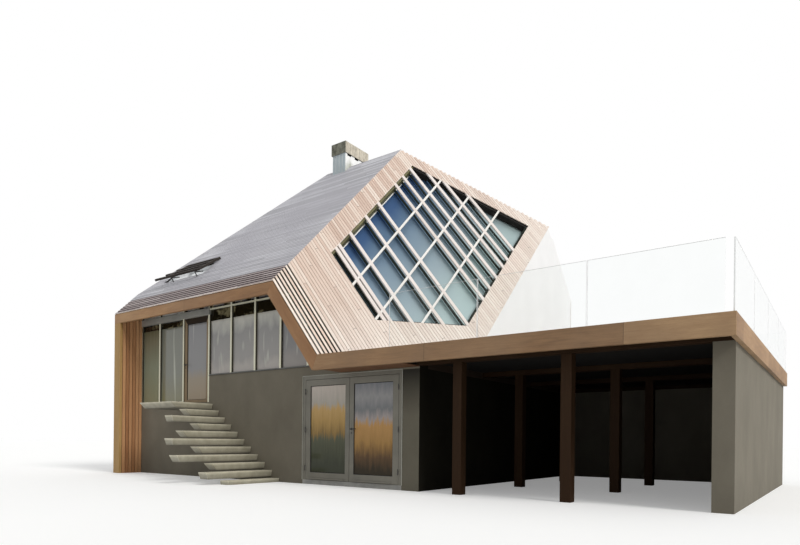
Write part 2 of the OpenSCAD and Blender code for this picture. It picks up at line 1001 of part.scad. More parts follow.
module leaf_blank() {
    difference() {
        cube([leaf_w, leaf_t, leaf_h]);
        glass_blank(leaf_t * 3);
    }
    for (z = hinge_z) knuckle(z - hinge_len / 2, z + hinge_len / 2, 1);
}

module glass_blank(thickness) {
    translate([leaf_stile, (leaf_t - thickness) / 2, leaf_bottom_rail])
        cube([leaf_w - leaf_stile - meeting_stile, thickness,
              leaf_h - leaf_bottom_rail - leaf_top_rail]);
}

module frame_knuckles() {
    for (z = hinge_z, up = [0, 1]) {
        low = up == 1 ? z + hinge_len / 2 + hinge_gap : z - hinge_len - hinge_gap;
        knuckle(low, low + hinge_len / 2, -1);
    }
}

module door_frame() {
    color("gray") placed() {
        difference() {
            pane(door_x, door_right, ground_slab_t, door_top_z, 0, door_frame_d);
            pane(door_x + door_frame_w, door_right - door_frame_w,
                 0, door_top_z - door_frame_w, -door_frame_d, 3 * door_frame_d);
        }
        at_left_leaf() frame_knuckles();
        at_right_leaf() frame_knuckles();
    }
}

module door_leaf_left() {
    color("gray") placed() at_left_leaf() leaf_blank();
}

module door_leaf_right() {
    color("gray") placed() at_right_leaf() leaf_blank();
}

module door_glass_left() {
    color("lightblue") placed() at_left_leaf() glass_blank(glass_t);
}

module door_glass_right() {
    color("lightblue") placed() at_right_leaf() glass_blank(glass_t);
}

module door_lever() {
    color("black") placed()
        translate([door_mid + (meeting_gap + meeting_stile) / 2, 0,
                   ground_slab_t + leaf_gap + lever_z])
            lever();
}

// Stair of planks cantilevered out of the wall, from the landing down
module stair_treads() {
    color("lightgray") placed()
        for (i = [0:tread_count - 1]) {
            top = landing_z - i * riser;
            depth = i == 0 ? landing_len : tread_d;
            low = max(0, top - tread_t);
            difference() {
                translate([landing_x + i * going, 0, 0])
                    upright(0, tread_len[i])
                        polygon([
                            [-depth, low], [-nose_undercut, low], [0, top], [-depth, top]
                        ]);
                translate([0, -tread_len[i], top])
                    rotate([atan2(tread_undercut[i], tread_t), 0, 0])
                        translate([0, -house_depth, -house_depth])
                            cube([house_len, house_depth, 2 * house_depth]);
            }
        }
}

ground_floor();
front_wall();
front_wall_over_door();
front_wall_right();
gable_wall_base();
back_wall_base();
left_wall_base();
entry_floor();
main_floor();
left_wall();
left_wing();
back_wall();
gable_wall();
front_roof();
back_roof();
left_face();
big_face();
big_window_fins();
big_window_frame();
big_window_glass();
eave_slats();
eave_rafters();
face_slats();
face_rafters();
eave_fascia();
raking_fascia();
end_post();
deck_fascia();
front_window_frame();
front_window_glass();
header_beam();
upper_door();
upper_door_glass();
back_window_frame();
back_window_glass();
deck_slab();
deck_beams();
deck_posts();
deck_end_wall();
deck_back_wall();
balustrade_glass();
chimney_stack();
chimney_cap();
roof_flap();
roof_window();
door_frame();
door_leaf_left();
door_leaf_right();
door_glass_left();
door_glass_right();
door_lever();
stair_treads();
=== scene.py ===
import math

import bpy
from mathutils import Matrix, Vector


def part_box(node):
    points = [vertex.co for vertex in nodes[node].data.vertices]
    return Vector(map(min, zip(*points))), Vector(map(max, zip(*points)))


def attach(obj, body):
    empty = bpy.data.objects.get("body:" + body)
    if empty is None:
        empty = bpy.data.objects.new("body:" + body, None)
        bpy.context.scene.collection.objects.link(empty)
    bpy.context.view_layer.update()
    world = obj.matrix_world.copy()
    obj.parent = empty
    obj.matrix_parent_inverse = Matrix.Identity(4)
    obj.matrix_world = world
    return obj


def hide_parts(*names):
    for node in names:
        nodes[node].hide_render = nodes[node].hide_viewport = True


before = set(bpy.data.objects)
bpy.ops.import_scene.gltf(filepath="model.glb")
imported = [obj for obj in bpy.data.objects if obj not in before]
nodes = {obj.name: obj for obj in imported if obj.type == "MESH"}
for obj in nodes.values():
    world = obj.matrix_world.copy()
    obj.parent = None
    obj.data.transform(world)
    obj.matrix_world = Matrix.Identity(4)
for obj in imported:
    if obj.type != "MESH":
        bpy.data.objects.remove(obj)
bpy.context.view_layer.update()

# Directions, as seen by someone who stands in front of the house
RIGHT = Vector((1, 0, 0))
LEFT = Vector((-1, 0, 0))
BACK = Vector((0, 1, 0))
FRONT = Vector((0, -1, 0))
UP = Vector((0, 0, 1))
DOWN = Vector((0, 0, -1))

# Set-out of the house in metres, measured from the left end of the rendered front wall
HOUSE = Vector((-7.95, -2.975, 0))
ROOT_HALF = math.sqrt(0.5)
LENGTH = 10.25
TOTAL_LENGTH = 15.9
DEPTH = 8.2
WALL = 0.3
OVERHANG = 0.68
FASCIA = 0.08
STRIP = 0.46
EAVE = 4.6
RIDGE_Y = 4.15
RIDGE_Z = 9.43
FACE_X = 6.68
LEFT_FACE_X = 3.8
FLOOR_Z = 1.985
SILL = 2.695
DECK = 2.82
BOARD_T = 0.02
BACK_EDGE_T = 0.076
BUTT = 0.0015
SHORTEST = 0.05
ROW_SHIFT = 0.618
RISER = 0.184
TREAD_T = 0.15
TOP_TREAD_Z = 1.93
WINDOW_S = 0.68
WINDOW_T = 2.06
WINDOW_Z = 3.74
WINDOW_BORDER = 0.45


def at(x, y, z):
    """A point of the house's own set-out, in the frame's coordinates."""
    return Vector((x, y, z)) + HOUSE


# Directions and corners of the four slopes
RAKE_ANGLE = math.radians(51.8)
rake = Vector((math.cos(RAKE_ANGLE), 0, -math.sin(RAKE_ANGLE)))
slope = Vector((0, ROOT_HALF, ROOT_HALF))
face_out = rake.cross(slope).normalized()
face_across = face_out.cross(rake)
skew_c = rake.dot(slope)
skew_s = math.sqrt(1 - skew_c * skew_c)
front_out = Vector((0, -ROOT_HALF, ROOT_HALF))
back_out = Vector((0, ROOT_HALF, ROOT_HALF))
down_back = Vector((0, ROOT_HALF, -ROOT_HALF))
arris_foot = at(FACE_X, -OVERHANG, EAVE)
ridge_left = at(LEFT_FACE_X, RIDGE_Y, RIDGE_Z)
hip_foot = at(0, 0.01, EAVE + OVERHANG + 0.01)
left_out = (ridge_left - hip_foot).cross(Vector((0, 1, -1))).normalized()
if left_out.x > 0:
    left_out.negate()
strip_up = STRIP / ROOT_HALF
roof_rise = (RIDGE_Y + OVERHANG) / ROOT_HALF


def face_point(s, t):
    """A point of the big face, s down the raking edge and t back up the roof."""
    return arris_foot + s * rake + t * slope


# Work on one object at a time


def link(name, data):
    """A new object with this data, in the scene."""
    obj = bpy.data.objects.new(name, data)
    bpy.context.scene.collection.objects.link(obj)
    return obj


def only(obj):
    """Leaves object mode's selection with this object alone."""
    bpy.ops.object.select_all(action="DESELECT")
    obj.select_set(True)
    bpy.context.view_layer.objects.active = obj


def edit(obj, kind="FACE", select="SELECT"):
    """Opens the mesh with all its faces, edges or points selected, or none."""
    only(obj)
    bpy.ops.object.mode_set(mode="EDIT")
    bpy.ops.mesh.select_mode(type=kind)
    bpy.ops.mesh.select_all(action=select)


def done():
    bpy.ops.object.mode_set(mode="OBJECT")


def pick(obj, kind, elements, test):
    """Opens the mesh with the faces, edges or points that pass the test selected."""
    edit(obj, kind, "DESELECT")
    done()
    for element in getattr(obj.data, elements):
        element.select = test(element)
    bpy.ops.object.mode_set(mode="EDIT")


def bevel_edges(obj, test, width, segments=1):
    """Bevels the edges whose two ends pass the test."""
    points = [v.co.copy() for v in obj.data.vertices]
    pick(obj, "EDGE", "edges", lambda edge: test(*(points[i] for i in edge.vertices)))
    bpy.ops.mesh.bevel(offset=width, segments=segments, affect="EDGES")
    done()


def move_points(obj, chosen, move):
    """Moves the points with these indexes."""
    pick(obj, "VERT", "vertices", lambda point: point.index in chosen)
    bpy.ops.transform.translate(value=move)
    done()


def trim(obj, point, outward, inset=0):
    """Cuts off what lies outside the plane and closes the cut."""
    edit(obj)
    bpy.ops.mesh.bisect(
        plane_co=point - inset * outward, plane_no=outward, use_fill=True, clear_outer=True
    )
    done()


def apply_all(obj):
    only(obj)
    for modifier in list(obj.modifiers):
        bpy.ops.object.modifier_apply(modifier=modifier.name)


def carve(cutter, *pieces):
    """Takes the cutter's volume out of the pieces, and the cutter out of the scene."""
    for obj in pieces:
        cut = obj.modifiers.new("opening", "BOOLEAN")
        cut.operation = "DIFFERENCE"
        cut.solver = "EXACT"
        cut.object = cutter
        apply_all(obj)
    bpy.data.objects.remove(cutter)


def ease(obj, width, angle=40):
    """Eases the edges of a piece that are sharper than the angle."""
    bevel = obj.modifiers.new("eased", "BEVEL")
    bevel.width = width
    bevel.limit_method = "ANGLE"
    bevel.angle_limit = math.radians(angle)
    apply_all(obj)


def settle(name):
    """Names the new primitive and puts its place, turn and size into its mesh."""
    obj = bpy.context.object
    only(obj)
    bpy.ops.object.transform_apply()
    obj.name = name
    return obj


def block(name, low, high):
    """A squared block between two corners, ready to be shaped."""
    middle, size = (low + high) / 2, high - low
    bpy.ops.mesh.primitive_cube_add(size=1, location=middle, scale=size)
    return settle(name)


def rod(name, start, end, radius, sides):
    """A round bar between two points, with eased ends."""
    run = end - start
    bpy.ops.mesh.primitive_cylinder_add(
        vertices=sides, radius=radius, depth=run.length, location=(start + end) / 2,
        rotation=run.to_track_quat("Z", "Y").to_euler(),
    )
    obj = settle(name)
    ease(obj, radius * 0.25, 60)
    return obj


def gather(name, parts):
    """Joins the parts into one piece."""
    bpy.ops.object.select_all(action="DESELECT")
    for part in parts:
        part.select_set(True)
    bpy.context.view_layer.objects.active = parts[0]
    if len(parts) > 1:
        bpy.ops.object.join()
    parts[0].name = name
    return parts[0]


def repeat(name, model, places):
    """Copies a model to each place, each copy with its own mesh, and joins them."""
    made = []
    for place in places:
        one = link(name, model.data.copy())
        one.data.transform(place)
        made.append(one)
    bpy.data.objects.remove(model)
    return gather(name, made)


def plank(width, thickness=BOARD_T, eased=0.003):
    """One board of unit length along X, its top at z = 0, with its top edges eased."""
    obj = block("plank", Vector((0, 0, -thickness)), Vector((1, width, 0)))
    bevel_edges(obj, lambda a, b: min(a.z, b.z) > -1e-4 and abs(a.x - b.x) > 0.5, eased)
    return obj


def placed(u, v, w, origin):
    """The matrix with these three axes and this origin."""
    rows = [(u[i], v[i], w[i], origin[i]) for i in range(3)]
    return Matrix((*rows, (0, 0, 0, 1)))


def basis(origin, along, across):
    """The matrix that sets a board field's drawing on its slope."""
    u, v = along.normalized(), across.normalized()
    return placed(u, v, u.cross(v), origin)


def laid(on, x, y, z, length):
    """Where a plank of unit length goes to lie at a place of a slope with this length."""
    return on @ Matrix.Translation((x, y, z)) @ Matrix.Diagonal((length, 1, 1, 1))


def boards(name, on, rows, pitch, gap, ends, length=None, thickness=BOARD_T):
    """A field of boards. Ends says where a row starts and stops, as a pair or as a function
    of its two heights. Boards longer than length are butted, each row at its own place."""
    places = []
    for row in rows:
        v0, v1 = row * pitch, (row + 1) * pitch
        start, stop = ends(v0, v1) if callable(ends) else ends
        if stop - start < 0.02:
            continue
        cuts = [start, stop]
        if length:
            shift = (row * ROW_SHIFT % 1) * length
            k = math.floor((start + shift) / length) + 1
            while k * length - shift < stop - SHORTEST:
                if k * length - shift > start + SHORTEST:
                    cuts.insert(-1, k * length - shift)
                k += 1
        for a, b in zip(cuts, cuts[1:]):
            a += 0 if a == start else BUTT
            b -= 0 if b == stop else BUTT
            places.append(laid(on, a, v0 + gap / 2, 0, b - a))
    return repeat(name, plank(pitch - gap, thickness), places)


def copy_of(node, name):
    """A welded copy of a CAD node, free to be shaped."""
    obj = link(name, nodes[node].data.copy())
    obj.data.materials.clear()
    edit(obj, "VERT")
    bpy.ops.mesh.customdata_custom_splitnormals_clear()
    bpy.ops.mesh.remove_doubles(threshold=2e-5)
    bpy.ops.mesh.dissolve_limited(angle_limit=math.radians(0.5))
    done()
    for face in obj.data.polygons:
        face.use_smooth = False
    return obj


def paint(obj, finish):
    obj.data.materials.clear()
    obj.data.materials.append(finish)


def fit(obj, finish, slot, body="root", stands_for=()):
    """Gives a piece its finish and the body it moves with. The slot is not used."""
    paint(obj, finish)
    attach(obj, body)
    if stands_for:
        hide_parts(*stands_for)
    return obj


def core(node, planes, finish=None, slot="dark_slats"):
    """What carries a node's boards, in the node's place: its outer faces are set back."""
    obj = copy_of(node, node + "_core")
    groups = []
    for point, outward, depth in planes:
        on_plane = [v.index for v in obj.data.vertices if abs((v.co - point).dot(outward)) < 1e-3]
        groups.append((on_plane, -depth * outward))
    for chosen, move in groups:
        if chosen:
            move_points(obj, chosen, move)
    return fit(obj, finish or felt, slot, stands_for=[node])


def facing(direction, least=0.9):
    """The test for faces that look in a direction."""
    return lambda c, n: n.dot(direction) > least


def tint(obj, finish, test):
    """Gives the faces that pass the test another finish."""
    obj.data.materials.append(finish)
    for face in obj.data.polygons:
        if test(face.center, face.normal):
            face.material_index = len(obj.data.materials) - 1
    return obj


def eased(node, width, finish, slot, body="root"):
    """A copy of a CAD node with eased edges, in the node's place."""
    obj = copy_of(node, node + "_eased")
    ease(obj, width)
    return fit(obj, finish, slot, body, [node])


# Finishes


class Wiring:
    """A node tree being wired up."""

    def __init__(self, owner):
        owner.use_nodes = True
        self.tree = owner.node_tree

    def add(self, kind, sockets=(), **settings):
        node = self.tree.nodes.new("ShaderNode" + kind)
        for key, value in settings.items():
            setattr(node, key, value)
        for key, value in dict(sockets).items():
            self.put(node.inputs[key], value)
        return node

    def put(self, socket, value):
        if isinstance(value, bpy.types.NodeSocket):
            self.tree.links.new(value, socket)
        else:
            socket.default_value = value

    def math(self, operation, *values):
        return self.add("Math", enumerate(values), operation=operation).outputs[0]

    def times(self, a, b):
        return self.math("MULTIPLY", a, b)

    def plus(self, a, b):
        return self.math("ADD", a, b)

    def minus(self, a, b):
        return self.math("SUBTRACT", a, b)

    def from_nought(self, value, high):
        """The value, kept between nought and a limit."""
        return self.math("MAXIMUM", 0, self.math("MINIMUM", value, high))


class Finish(Wiring):
    """One node material being wired up."""

    def __init__(self, name):
        self.material = bpy.data.materials.new(name)
        super().__init__(self.material)
        self.shader = self.tree.nodes["Principled BSDF"]
        self.object = self.add("TexCoord").outputs["Object"]

    def noise(self, vector, scale, detail=3, rough=0.55):
        sockets = {"Vector": vector, "Scale": scale, "Detail": detail, "Roughness": rough}
        return self.add("TexNoise", sockets).outputs["Fac"]

    def parts(self, vector):
        return self.add("SeparateXYZ", {0: vector}).outputs

    def stretch(self, vector, scale, location=(0, 0, 0), rotation=(0, 0, 0)):
        sockets = {"Vector": vector, "Scale": scale, "Location": location, "Rotation": rotation}
        return self.add("Mapping", sockets).outputs[0]

    def turned(self, on):
        """Object coordinates seen from a slope: along, across and out of it."""
        back = on.inverted()
        return self.stretch(self.object, (1, 1, 1), back.to_translation(), back.to_euler("XYZ"))

    def ramp(self, factor, stops):
        node = self.add("ValToRGB", {"Fac": factor})
        marks = node.color_ramp.elements
        while len(marks) < len(stops):
            marks.new(0.5)
        for mark, (place, colour) in zip(marks, stops):
            mark.position = place
            mark.color = (*colour, 1)
        return node.outputs["Color"]

    def mix(self, factor, a, b, blend="MIX"):
        node = self.add("Mix", {"Factor": factor}, data_type="RGBA", blend_type=blend)
        for socket, value in zip([s for s in node.inputs if s.type == "RGBA"], (a, b)):
            self.put(socket, value if isinstance(value, bpy.types.NodeSocket) else (*value, 1))
        return [s for s in node.outputs if s.type == "RGBA"][0]

    def wear(self, width, amount):
        """White where an edge is near, for rubbed arrises."""
        bevel = self.add("Bevel", {"Radius": width}, samples=4).outputs[0]
        normal = self.add("NewGeometry").outputs["Normal"]
        dot = self.add("VectorMath", {0: bevel, 1: normal}, operation="DOT_PRODUCT")
        return self.times(self.minus(1, dot.outputs["Value"]), amount)

    def bump(self, height, strength, distance):
        node = self.add("Bump", {"Height": height, "Strength": strength, "Distance": distance})
        self.put(self.shader.inputs["Normal"], node.outputs[0])

    def set(self, **values):
        for key, value in values.items():
            self.put(self.shader.inputs[key.replace("_", " ")], value)
        return self


def wood(name, on, tones, pitch=None, length=None, grey=None, pale=None, mottle=0.22, shine=0.5):
    """Timber with its grain along the field's boards, each board its own tone."""
    f = Finish(name)
    place = f.turned(on)
    if pitch:
        parts = f.parts(place)
        row = f.math("FLOOR", f.math("DIVIDE", parts["Y"], pitch))
        run = parts["X"]
        if length:
            shift = f.times(f.math("FRACT", f.times(row, ROW_SHIFT)), length)
            run = f.plus(run, shift)
        cell = f.math("FLOOR", f.math("DIVIDE", run, length or 50))
        pair = f.add("CombineXYZ", {"X": row, "Y": cell}).outputs[0]
        tone = f.add("TexWhiteNoise", {"Vector": pair}, noise_dimensions="3D")
        jump = f.add("VectorMath", {0: tone.outputs["Color"], "Scale": 9}, operation="SCALE")
        place = f.add("VectorMath", {0: place, 1: jump.outputs[0]}).outputs[0]
        tone = tone.outputs["Value"]
    else:
        tone = f.noise(f.stretch(place, (0.25, 1.2, 1.2)), 1, 1)
    streak = f.noise(f.stretch(place, (1.3, 26, 26)), 1.6, 5, 0.62)
    cloud = f.noise(f.stretch(place, (0.5, 2.2, 2.2)), 1.1, 6, 0.72)
    blend = f.plus(f.times(tone, 0.5), f.times(streak, 0.42))
    cloud = f.plus(0.11, f.times(f.minus(cloud, 0.5), mottle))
    blend = f.plus(blend, cloud)
    colour = f.ramp(blend, [(0.22, tones[0]), (0.55, tones[1]), (0.86, tones[2])])
    if grey:
        patch = f.ramp(f.noise(f.object, 0.42, 3), [(0.4, (0, 0, 0)), (0.68, (1, 1, 1))])
        colour = f.mix(f.times(patch, 0.75), colour, grey)
    # Paler towards the right and below 4.1 m.
    if pale:
        parts = f.parts(f.object)
        paler_share = f.from_nought(f.math("MULTIPLY_ADD", parts["X"], 0.125, 0.17), 0.45)
        low = f.times(f.minus(4.1, parts["Z"]), 0.22)
        paler_share = f.plus(paler_share, f.from_nought(low, 0.28))
        colour = f.mix(paler_share, colour, pale)
    if length:
        joint = f.math("LESS_THAN", f.math("FRACT", f.math("DIVIDE", run, length)), 0.0015)
        colour = f.mix(joint, colour, tuple(0.2 * c for c in tones[0]))
    pores = f.noise(f.stretch(place, (9, 260, 260)), 1, 2)
    colour = f.mix(
        f.times(f.math("GREATER_THAN", pores, 0.64), 0.22),
        colour, tuple(0.45 * c for c in tones[0]),
    )
    f.bump(f.plus(streak, f.times(pores, 0.3)), 0.35, 0.0015)
    roughness = f.plus(f.times(streak, 0.22), 0.52)
    return f.set(Base_Color=colour, Roughness=roughness, Specular_IOR_Level=shine).material


def plaster(
    name, low, high, stain, grain=90, clouds=1.3, on_ridge=False, shine=0.5, shade_under_deck=False
):
    """Troweled render: fine sand, broad trowel clouds, damp near its foot, painted shade near its
    top.
    """
    f = Finish(name)
    sand = f.noise(f.object, grain, 4)
    trowel = f.noise(f.stretch(f.object, (1, 1, 0.7)), clouds, 4, 0.6)
    grit = f.plus(f.times(trowel, 0.75), f.times(sand, 0.25))
    colour = f.ramp(grit, [(0.32, low), (0.68, high)])
    parts = f.parts(f.object)
    height = parts["Z"]
    if on_ridge:
        across = f.math("ABSOLUTE", f.minus(parts["Y"], ridge_left.y))
        height = f.minus(f.plus(height, across), ridge_left.z)
    damp = f.minus(0.55, f.times(height, 1.9 if on_ridge else 0.9))
    damp = f.times(damp, f.noise(f.object, 9 if on_ridge else 3.5, 3))
    damp = f.from_nought(damp, 0.5)
    if on_ridge:
        damp = f.times(damp, 2.2)
    colour = f.mix(damp, colour, stain)
    # Painted shade: darker from 1.55 m upwards, where the shade under the deck falls.
    if shade_under_deck:
        dark = f.math("MAXIMUM", 0, f.minus(parts["Z"], 1.55))
        colour = f.mix(f.math("MINIMUM", dark, 0.9), colour, (0.006, 0.005, 0.003))
    f.bump(f.plus(sand, f.times(trowel, 0.6)), 0.28, 0.002)
    return f.set(Base_Color=colour, Roughness=0.88, Specular_IOR_Level=shine).material


def cast(name, low, high, down_plank=()):
    """Cast concrete: board marks, pores, paler worn edges, shaded down the face of each tread."""
    f = Finish(name)
    mark = f.noise(f.stretch(f.object, (5, 0.7, 34)), 1, 3)
    blot = f.noise(f.object, 5, 5, 0.65)
    pores = f.add("TexVoronoi", {"Vector": f.object, "Scale": 55}).outputs["Distance"]
    colour = f.ramp(f.plus(f.times(blot, 0.7), f.times(mark, 0.3)), [(0.3, low), (0.7, high)])
    colour = f.mix(f.times(f.math("LESS_THAN", pores, 0.1), 0.5), colour, low)
    colour = f.mix(f.math("MINIMUM", f.wear(0.012, 2.2), 0.35), colour, (0.72, 0.68, 0.58))
    if down_plank:
        height = f.parts(f.object)["Z"]
        down = f.math("MODULO", f.minus(TOP_TREAD_Z + 0.001, height), RISER)
        shade = f.ramp(f.math("DIVIDE", down, TREAD_T), [(u, (v, v, v)) for u, v in down_plank])
        colour = f.mix(1, colour, shade, "MULTIPLY")
    f.bump(f.plus(mark, f.times(pores, 0.4)), 0.3, 0.002)
    return f.set(Base_Color=colour, Roughness=0.8).material


def metal(name, colour, rough=0.42, metallic=0.6, speck=0.06):
    """Coated metal with a faint orange-peel and paler rubbed arrises."""
    f = Finish(name)
    peel = f.noise(f.object, 260, 2)
    cloud = f.noise(f.object, 2.1, 3)
    dark = tuple(c * (1 - 2.5 * speck) for c in colour)
    pale = tuple(min(1, c * (1 + 2.5 * speck)) for c in colour)
    shade = f.ramp(cloud, [(0.3, dark), (0.7, pale)])
    shade = f.mix(f.math("MINIMUM", f.wear(0.004, 2), 0.3), shade, pale)
    f.bump(peel, 0.08, 0.0006)
    roughness = f.plus(f.times(cloud, 0.16), rough - 0.08)
    return f.set(Base_Color=shade, Roughness=roughness, Metallic=metallic).material


def rubber(name, colour):
    f = Finish(name)
    fleck = f.noise(f.object, 120, 3)
    shade = f.ramp(fleck, [(0.3, colour), (0.7, tuple(1.7 * c for c in colour))])
    f.bump(fleck, 0.2, 0.001)
    return f.set(Base_Color=shade, Roughness=0.85, Specular_IOR_Level=0.1).material


def pane_glass(
    name, on, stops, reach, clouds=(0.55, 0.55, 0.18), bands=(), painted_glints=None,
    shine=0.5, coated=0, rough=0.04,
):
    """Glazing whose painted reflection runs up its own plane with soft clouds in it. Each band
    of painted reflection starts sharply at its height, dark and pale, and glints are painted pale
    streaks."""
    f = Finish(name)
    place = f.turned(on)
    up = f.parts(place)["Y"]
    cloud = f.noise(f.stretch(place, (clouds[0], clouds[1], 1)), 1, 4)
    drift = f.times(f.minus(cloud, 0.5), clouds[2])
    colour = f.ramp(f.plus(f.math("DIVIDE", up, reach), drift), stops)
    if painted_glints:
        streak = f.noise(f.stretch(place, painted_glints[:3], rotation=(0, 0, painted_glints[3])), 1, 2)
        streak = f.ramp(streak, [(0.6, (0, 0, 0)), (0.7, (painted_glints[4],) * 3)])
        colour = f.mix(streak, colour, (0.8, 0.82, 0.68))
    for height, dark, bright in bands:
        band_reflection = f.ramp(f.noise(place, 2.7, 4), [(0.52, dark), (0.62, bright)])
        colour = f.mix(f.math("GREATER_THAN", up, height), colour, band_reflection)
    film = f.noise(f.object, 7, 3)
    f.bump(f.noise(f.object, 0.8, 1), 0.02, 0.01)
    f.set(Base_Color=colour, Roughness=f.plus(f.times(film, 0.05), rough))
    return f.set(Specular_IOR_Level=shine, Metallic=coated).material


def clear_glass(name, tint):
    f = Finish(name)
    film = f.noise(f.object, 3, 3)
    shade = f.ramp(film, [(0.3, tuple(0.985 * c for c in tint)), (0.7, tint)])
    roughness = f.times(film, 0.02)
    f.set(Base_Color=shade, Roughness=roughness, IOR=1.2, Transmission_Weight=1)
    return f.material


# Rows and lengths of the boards
ROOF_ROWS = 66
ROOF_PITCH = (roof_rise - strip_up) / ROOF_ROWS
FACE_PITCH = strip_up * skew_s / 7
WALL_PITCH = 0.115
REVEAL_PITCH = WALL_PITCH * 0.87
DECK_PITCH = 0.145
ROOF_BOARD = 4.2
FACE_BOARD = 5.4
DECK_BOARD = 3.6

# The coordinates of slopes, walls and edges, shared by the boards and their finishes
corner = at(0, 0, 0)
on_front = basis(arris_foot + strip_up * slope, RIGHT, slope)
on_back = basis(ridge_left, LEFT, down_back)
on_face = basis(arris_foot, rake, face_across)
on_left = basis(hip_foot, -down_back, left_out.cross(-down_back))
on_wall = basis(corner, UP, BACK)
on_long = basis(corner, RIGHT, UP)
on_deep = basis(corner, BACK, UP)
on_post = basis(corner, UP, RIGHT)
on_deck = basis(corner, RIGHT, BACK)
deck_edge = at(0, 0, 2.47)

face_tones = [(0.57, 0.405, 0.32), (0.745, 0.575, 0.475), (0.88, 0.76, 0.66)]
edge_tones = [(0.145, 0.072, 0.028), (0.335, 0.19, 0.088), (0.51, 0.325, 0.17)]
# Near black: painted shade for the posts and beams under the deck.
shade_black_tones = [(0.02, 0.01, 0.004), (0.034, 0.017, 0.008), (0.058, 0.032, 0.016)]

face_wood = wood(
    "pale cedar face boards", on_face, face_tones, FACE_PITCH, FACE_BOARD, pale=(0.95, 0.9, 0.84)
)
bleached_wood = wood(
    "bleached face slats", on_face, [(0.68, 0.52, 0.42), (0.85, 0.73, 0.63), (0.95, 0.88, 0.81)],
    strip_up * skew_s / 6,
)
roof_wood, back_wood = (
    wood(
        name, on, [(0.36, 0.36, 0.385), (0.53, 0.52, 0.55), (0.67, 0.67, 0.71)],
        ROOF_PITCH, ROOF_BOARD, (0.43, 0.42, 0.46),
    )
    for name, on in (("grey roof boards", on_front), ("grey back slope boards", on_back))
)
left_wood = wood("left slope boards", on_left, face_tones, ROOF_PITCH, ROOF_BOARD)
wall_wood = wood(
    "orange wall boards", on_wall,
    [(0.17, 0.08, 0.03), (0.34, 0.18, 0.08), (0.5, 0.31, 0.16)], WALL_PITCH,
)
back_wall_wood = wood(
    "back wall boards", on_post,
    [(0.3, 0.19, 0.12), (0.5, 0.36, 0.25), (0.66, 0.52, 0.4)], WALL_PITCH,
)
deck_wood = wood(
    "deck boards", on_deck,
    [(0.3, 0.25, 0.21), (0.46, 0.4, 0.35), (0.6, 0.54, 0.48)], DECK_PITCH, DECK_BOARD,
)
shaded_slat_edge_wood = wood(
    "shaded slat edges", on_long,
    [(0.02, 0.014, 0.012), (0.035, 0.026, 0.023), (0.06, 0.045, 0.04)], shine=0.1,
)
slat_wood = wood(
    "eave slats", on_front, [(0.24, 0.19, 0.185), (0.4, 0.335, 0.33), (0.6, 0.52, 0.505)],
    strip_up / 6, ROOF_BOARD,
)
beam_wood = wood(
    "brown eave timber", basis(at(0, 0, 4.28), RIGHT, UP),
    [(0.14, 0.065, 0.024), (0.325, 0.17, 0.072), (0.5, 0.305, 0.15)],
    0.42, 3.35, (0.27, 0.15, 0.075), mottle=0.9,
)
deck_edge_wood = wood(
    "brown deck edge", basis(deck_edge, RIGHT, UP), edge_tones, 0.36, DECK_BOARD,
    (0.24, 0.15, 0.085), mottle=0.9,
)
deck_end_wood = wood(
    "brown deck end", basis(deck_edge, BACK, UP), edge_tones, 0.36, DECK_BOARD, mottle=0.9
)
rake_wood = wood(
    "brown raking timber", basis(arris_foot - 0.32 * face_across, rake, face_across),
    [(0.12, 0.052, 0.017), (0.285, 0.138, 0.055), (0.45, 0.252, 0.115)],
    0.6, 2.7, (0.24, 0.12, 0.055), mottle=0.9,
)
deep_wood = wood("dark brown timber in painted shade", on_post, shade_black_tones, shine=0.1)
deck_beam_wood = wood("dark brown beams in painted shade", on_deep, shade_black_tones, shine=0.1)
post_wood = wood(
    "golden end post", on_post, [(0.24, 0.125, 0.035), (0.38, 0.225, 0.075), (0.5, 0.32, 0.125)]
)
dark_wood = wood(
    "dark rafters", on_deep,
    [(0.03, 0.02, 0.015), (0.05, 0.035, 0.026), (0.085, 0.06, 0.045)], shine=0.1,
)
flap_wood = wood(
    "black flap slats", on_long,
    [(0.018, 0.014, 0.012), (0.035, 0.028, 0.024), (0.085, 0.07, 0.062)], shine=0.2,
)
frame_wood = wood(
    "cream window posts", on_post, [(0.7, 0.67, 0.5), (0.86, 0.84, 0.66), (0.95, 0.94, 0.8)]
)
# Painted shade for the right-hand sides of the window posts.
shaded_wood = wood(
    "shaded olive post sides", on_post, [(0.05, 0.042, 0.025), (0.085, 0.072, 0.042), (0.13, 0.11, 0.065)]
)
bar_wood = wood(
    "dark window bars", on_face,
    [(0.006, 0.008, 0.005), (0.012, 0.017, 0.012), (0.028, 0.034, 0.024)], shine=0.1,
)
olive_wood = wood(
    "olive frame lining", on_face,
    [(0.05, 0.045, 0.016), (0.13, 0.12, 0.05), (0.27, 0.25, 0.12)], mottle=0.6,
)
fin_wood = wood(
    "pale window fins", on_face, [(0.66, 0.56, 0.5), (0.84, 0.76, 0.71), (0.95, 0.91, 0.88)]
)
door_wood = wood(
    "brown upper door", on_post, [(0.155, 0.107, 0.054), (0.25, 0.178, 0.1), (0.34, 0.255, 0.157)]
)
# Painted shade: near black for the upper door's head, under the eave.
shaded_door_head_wood = wood(
    "shaded door head", on_long,
    [(0.02, 0.014, 0.009), (0.032, 0.022, 0.014), (0.05, 0.036, 0.024)], shine=0.1,
)
floor_wood = wood(
    "inner floor", on_deck, [(0.2, 0.13, 0.08), (0.3, 0.21, 0.14), (0.4, 0.3, 0.21)], 0.14, 2.2
)
soffit_wood = wood(
    "red brown soffit", on_long,
    [(0.1, 0.045, 0.022), (0.17, 0.085, 0.045), (0.25, 0.14, 0.08)], shine=0.1,
)

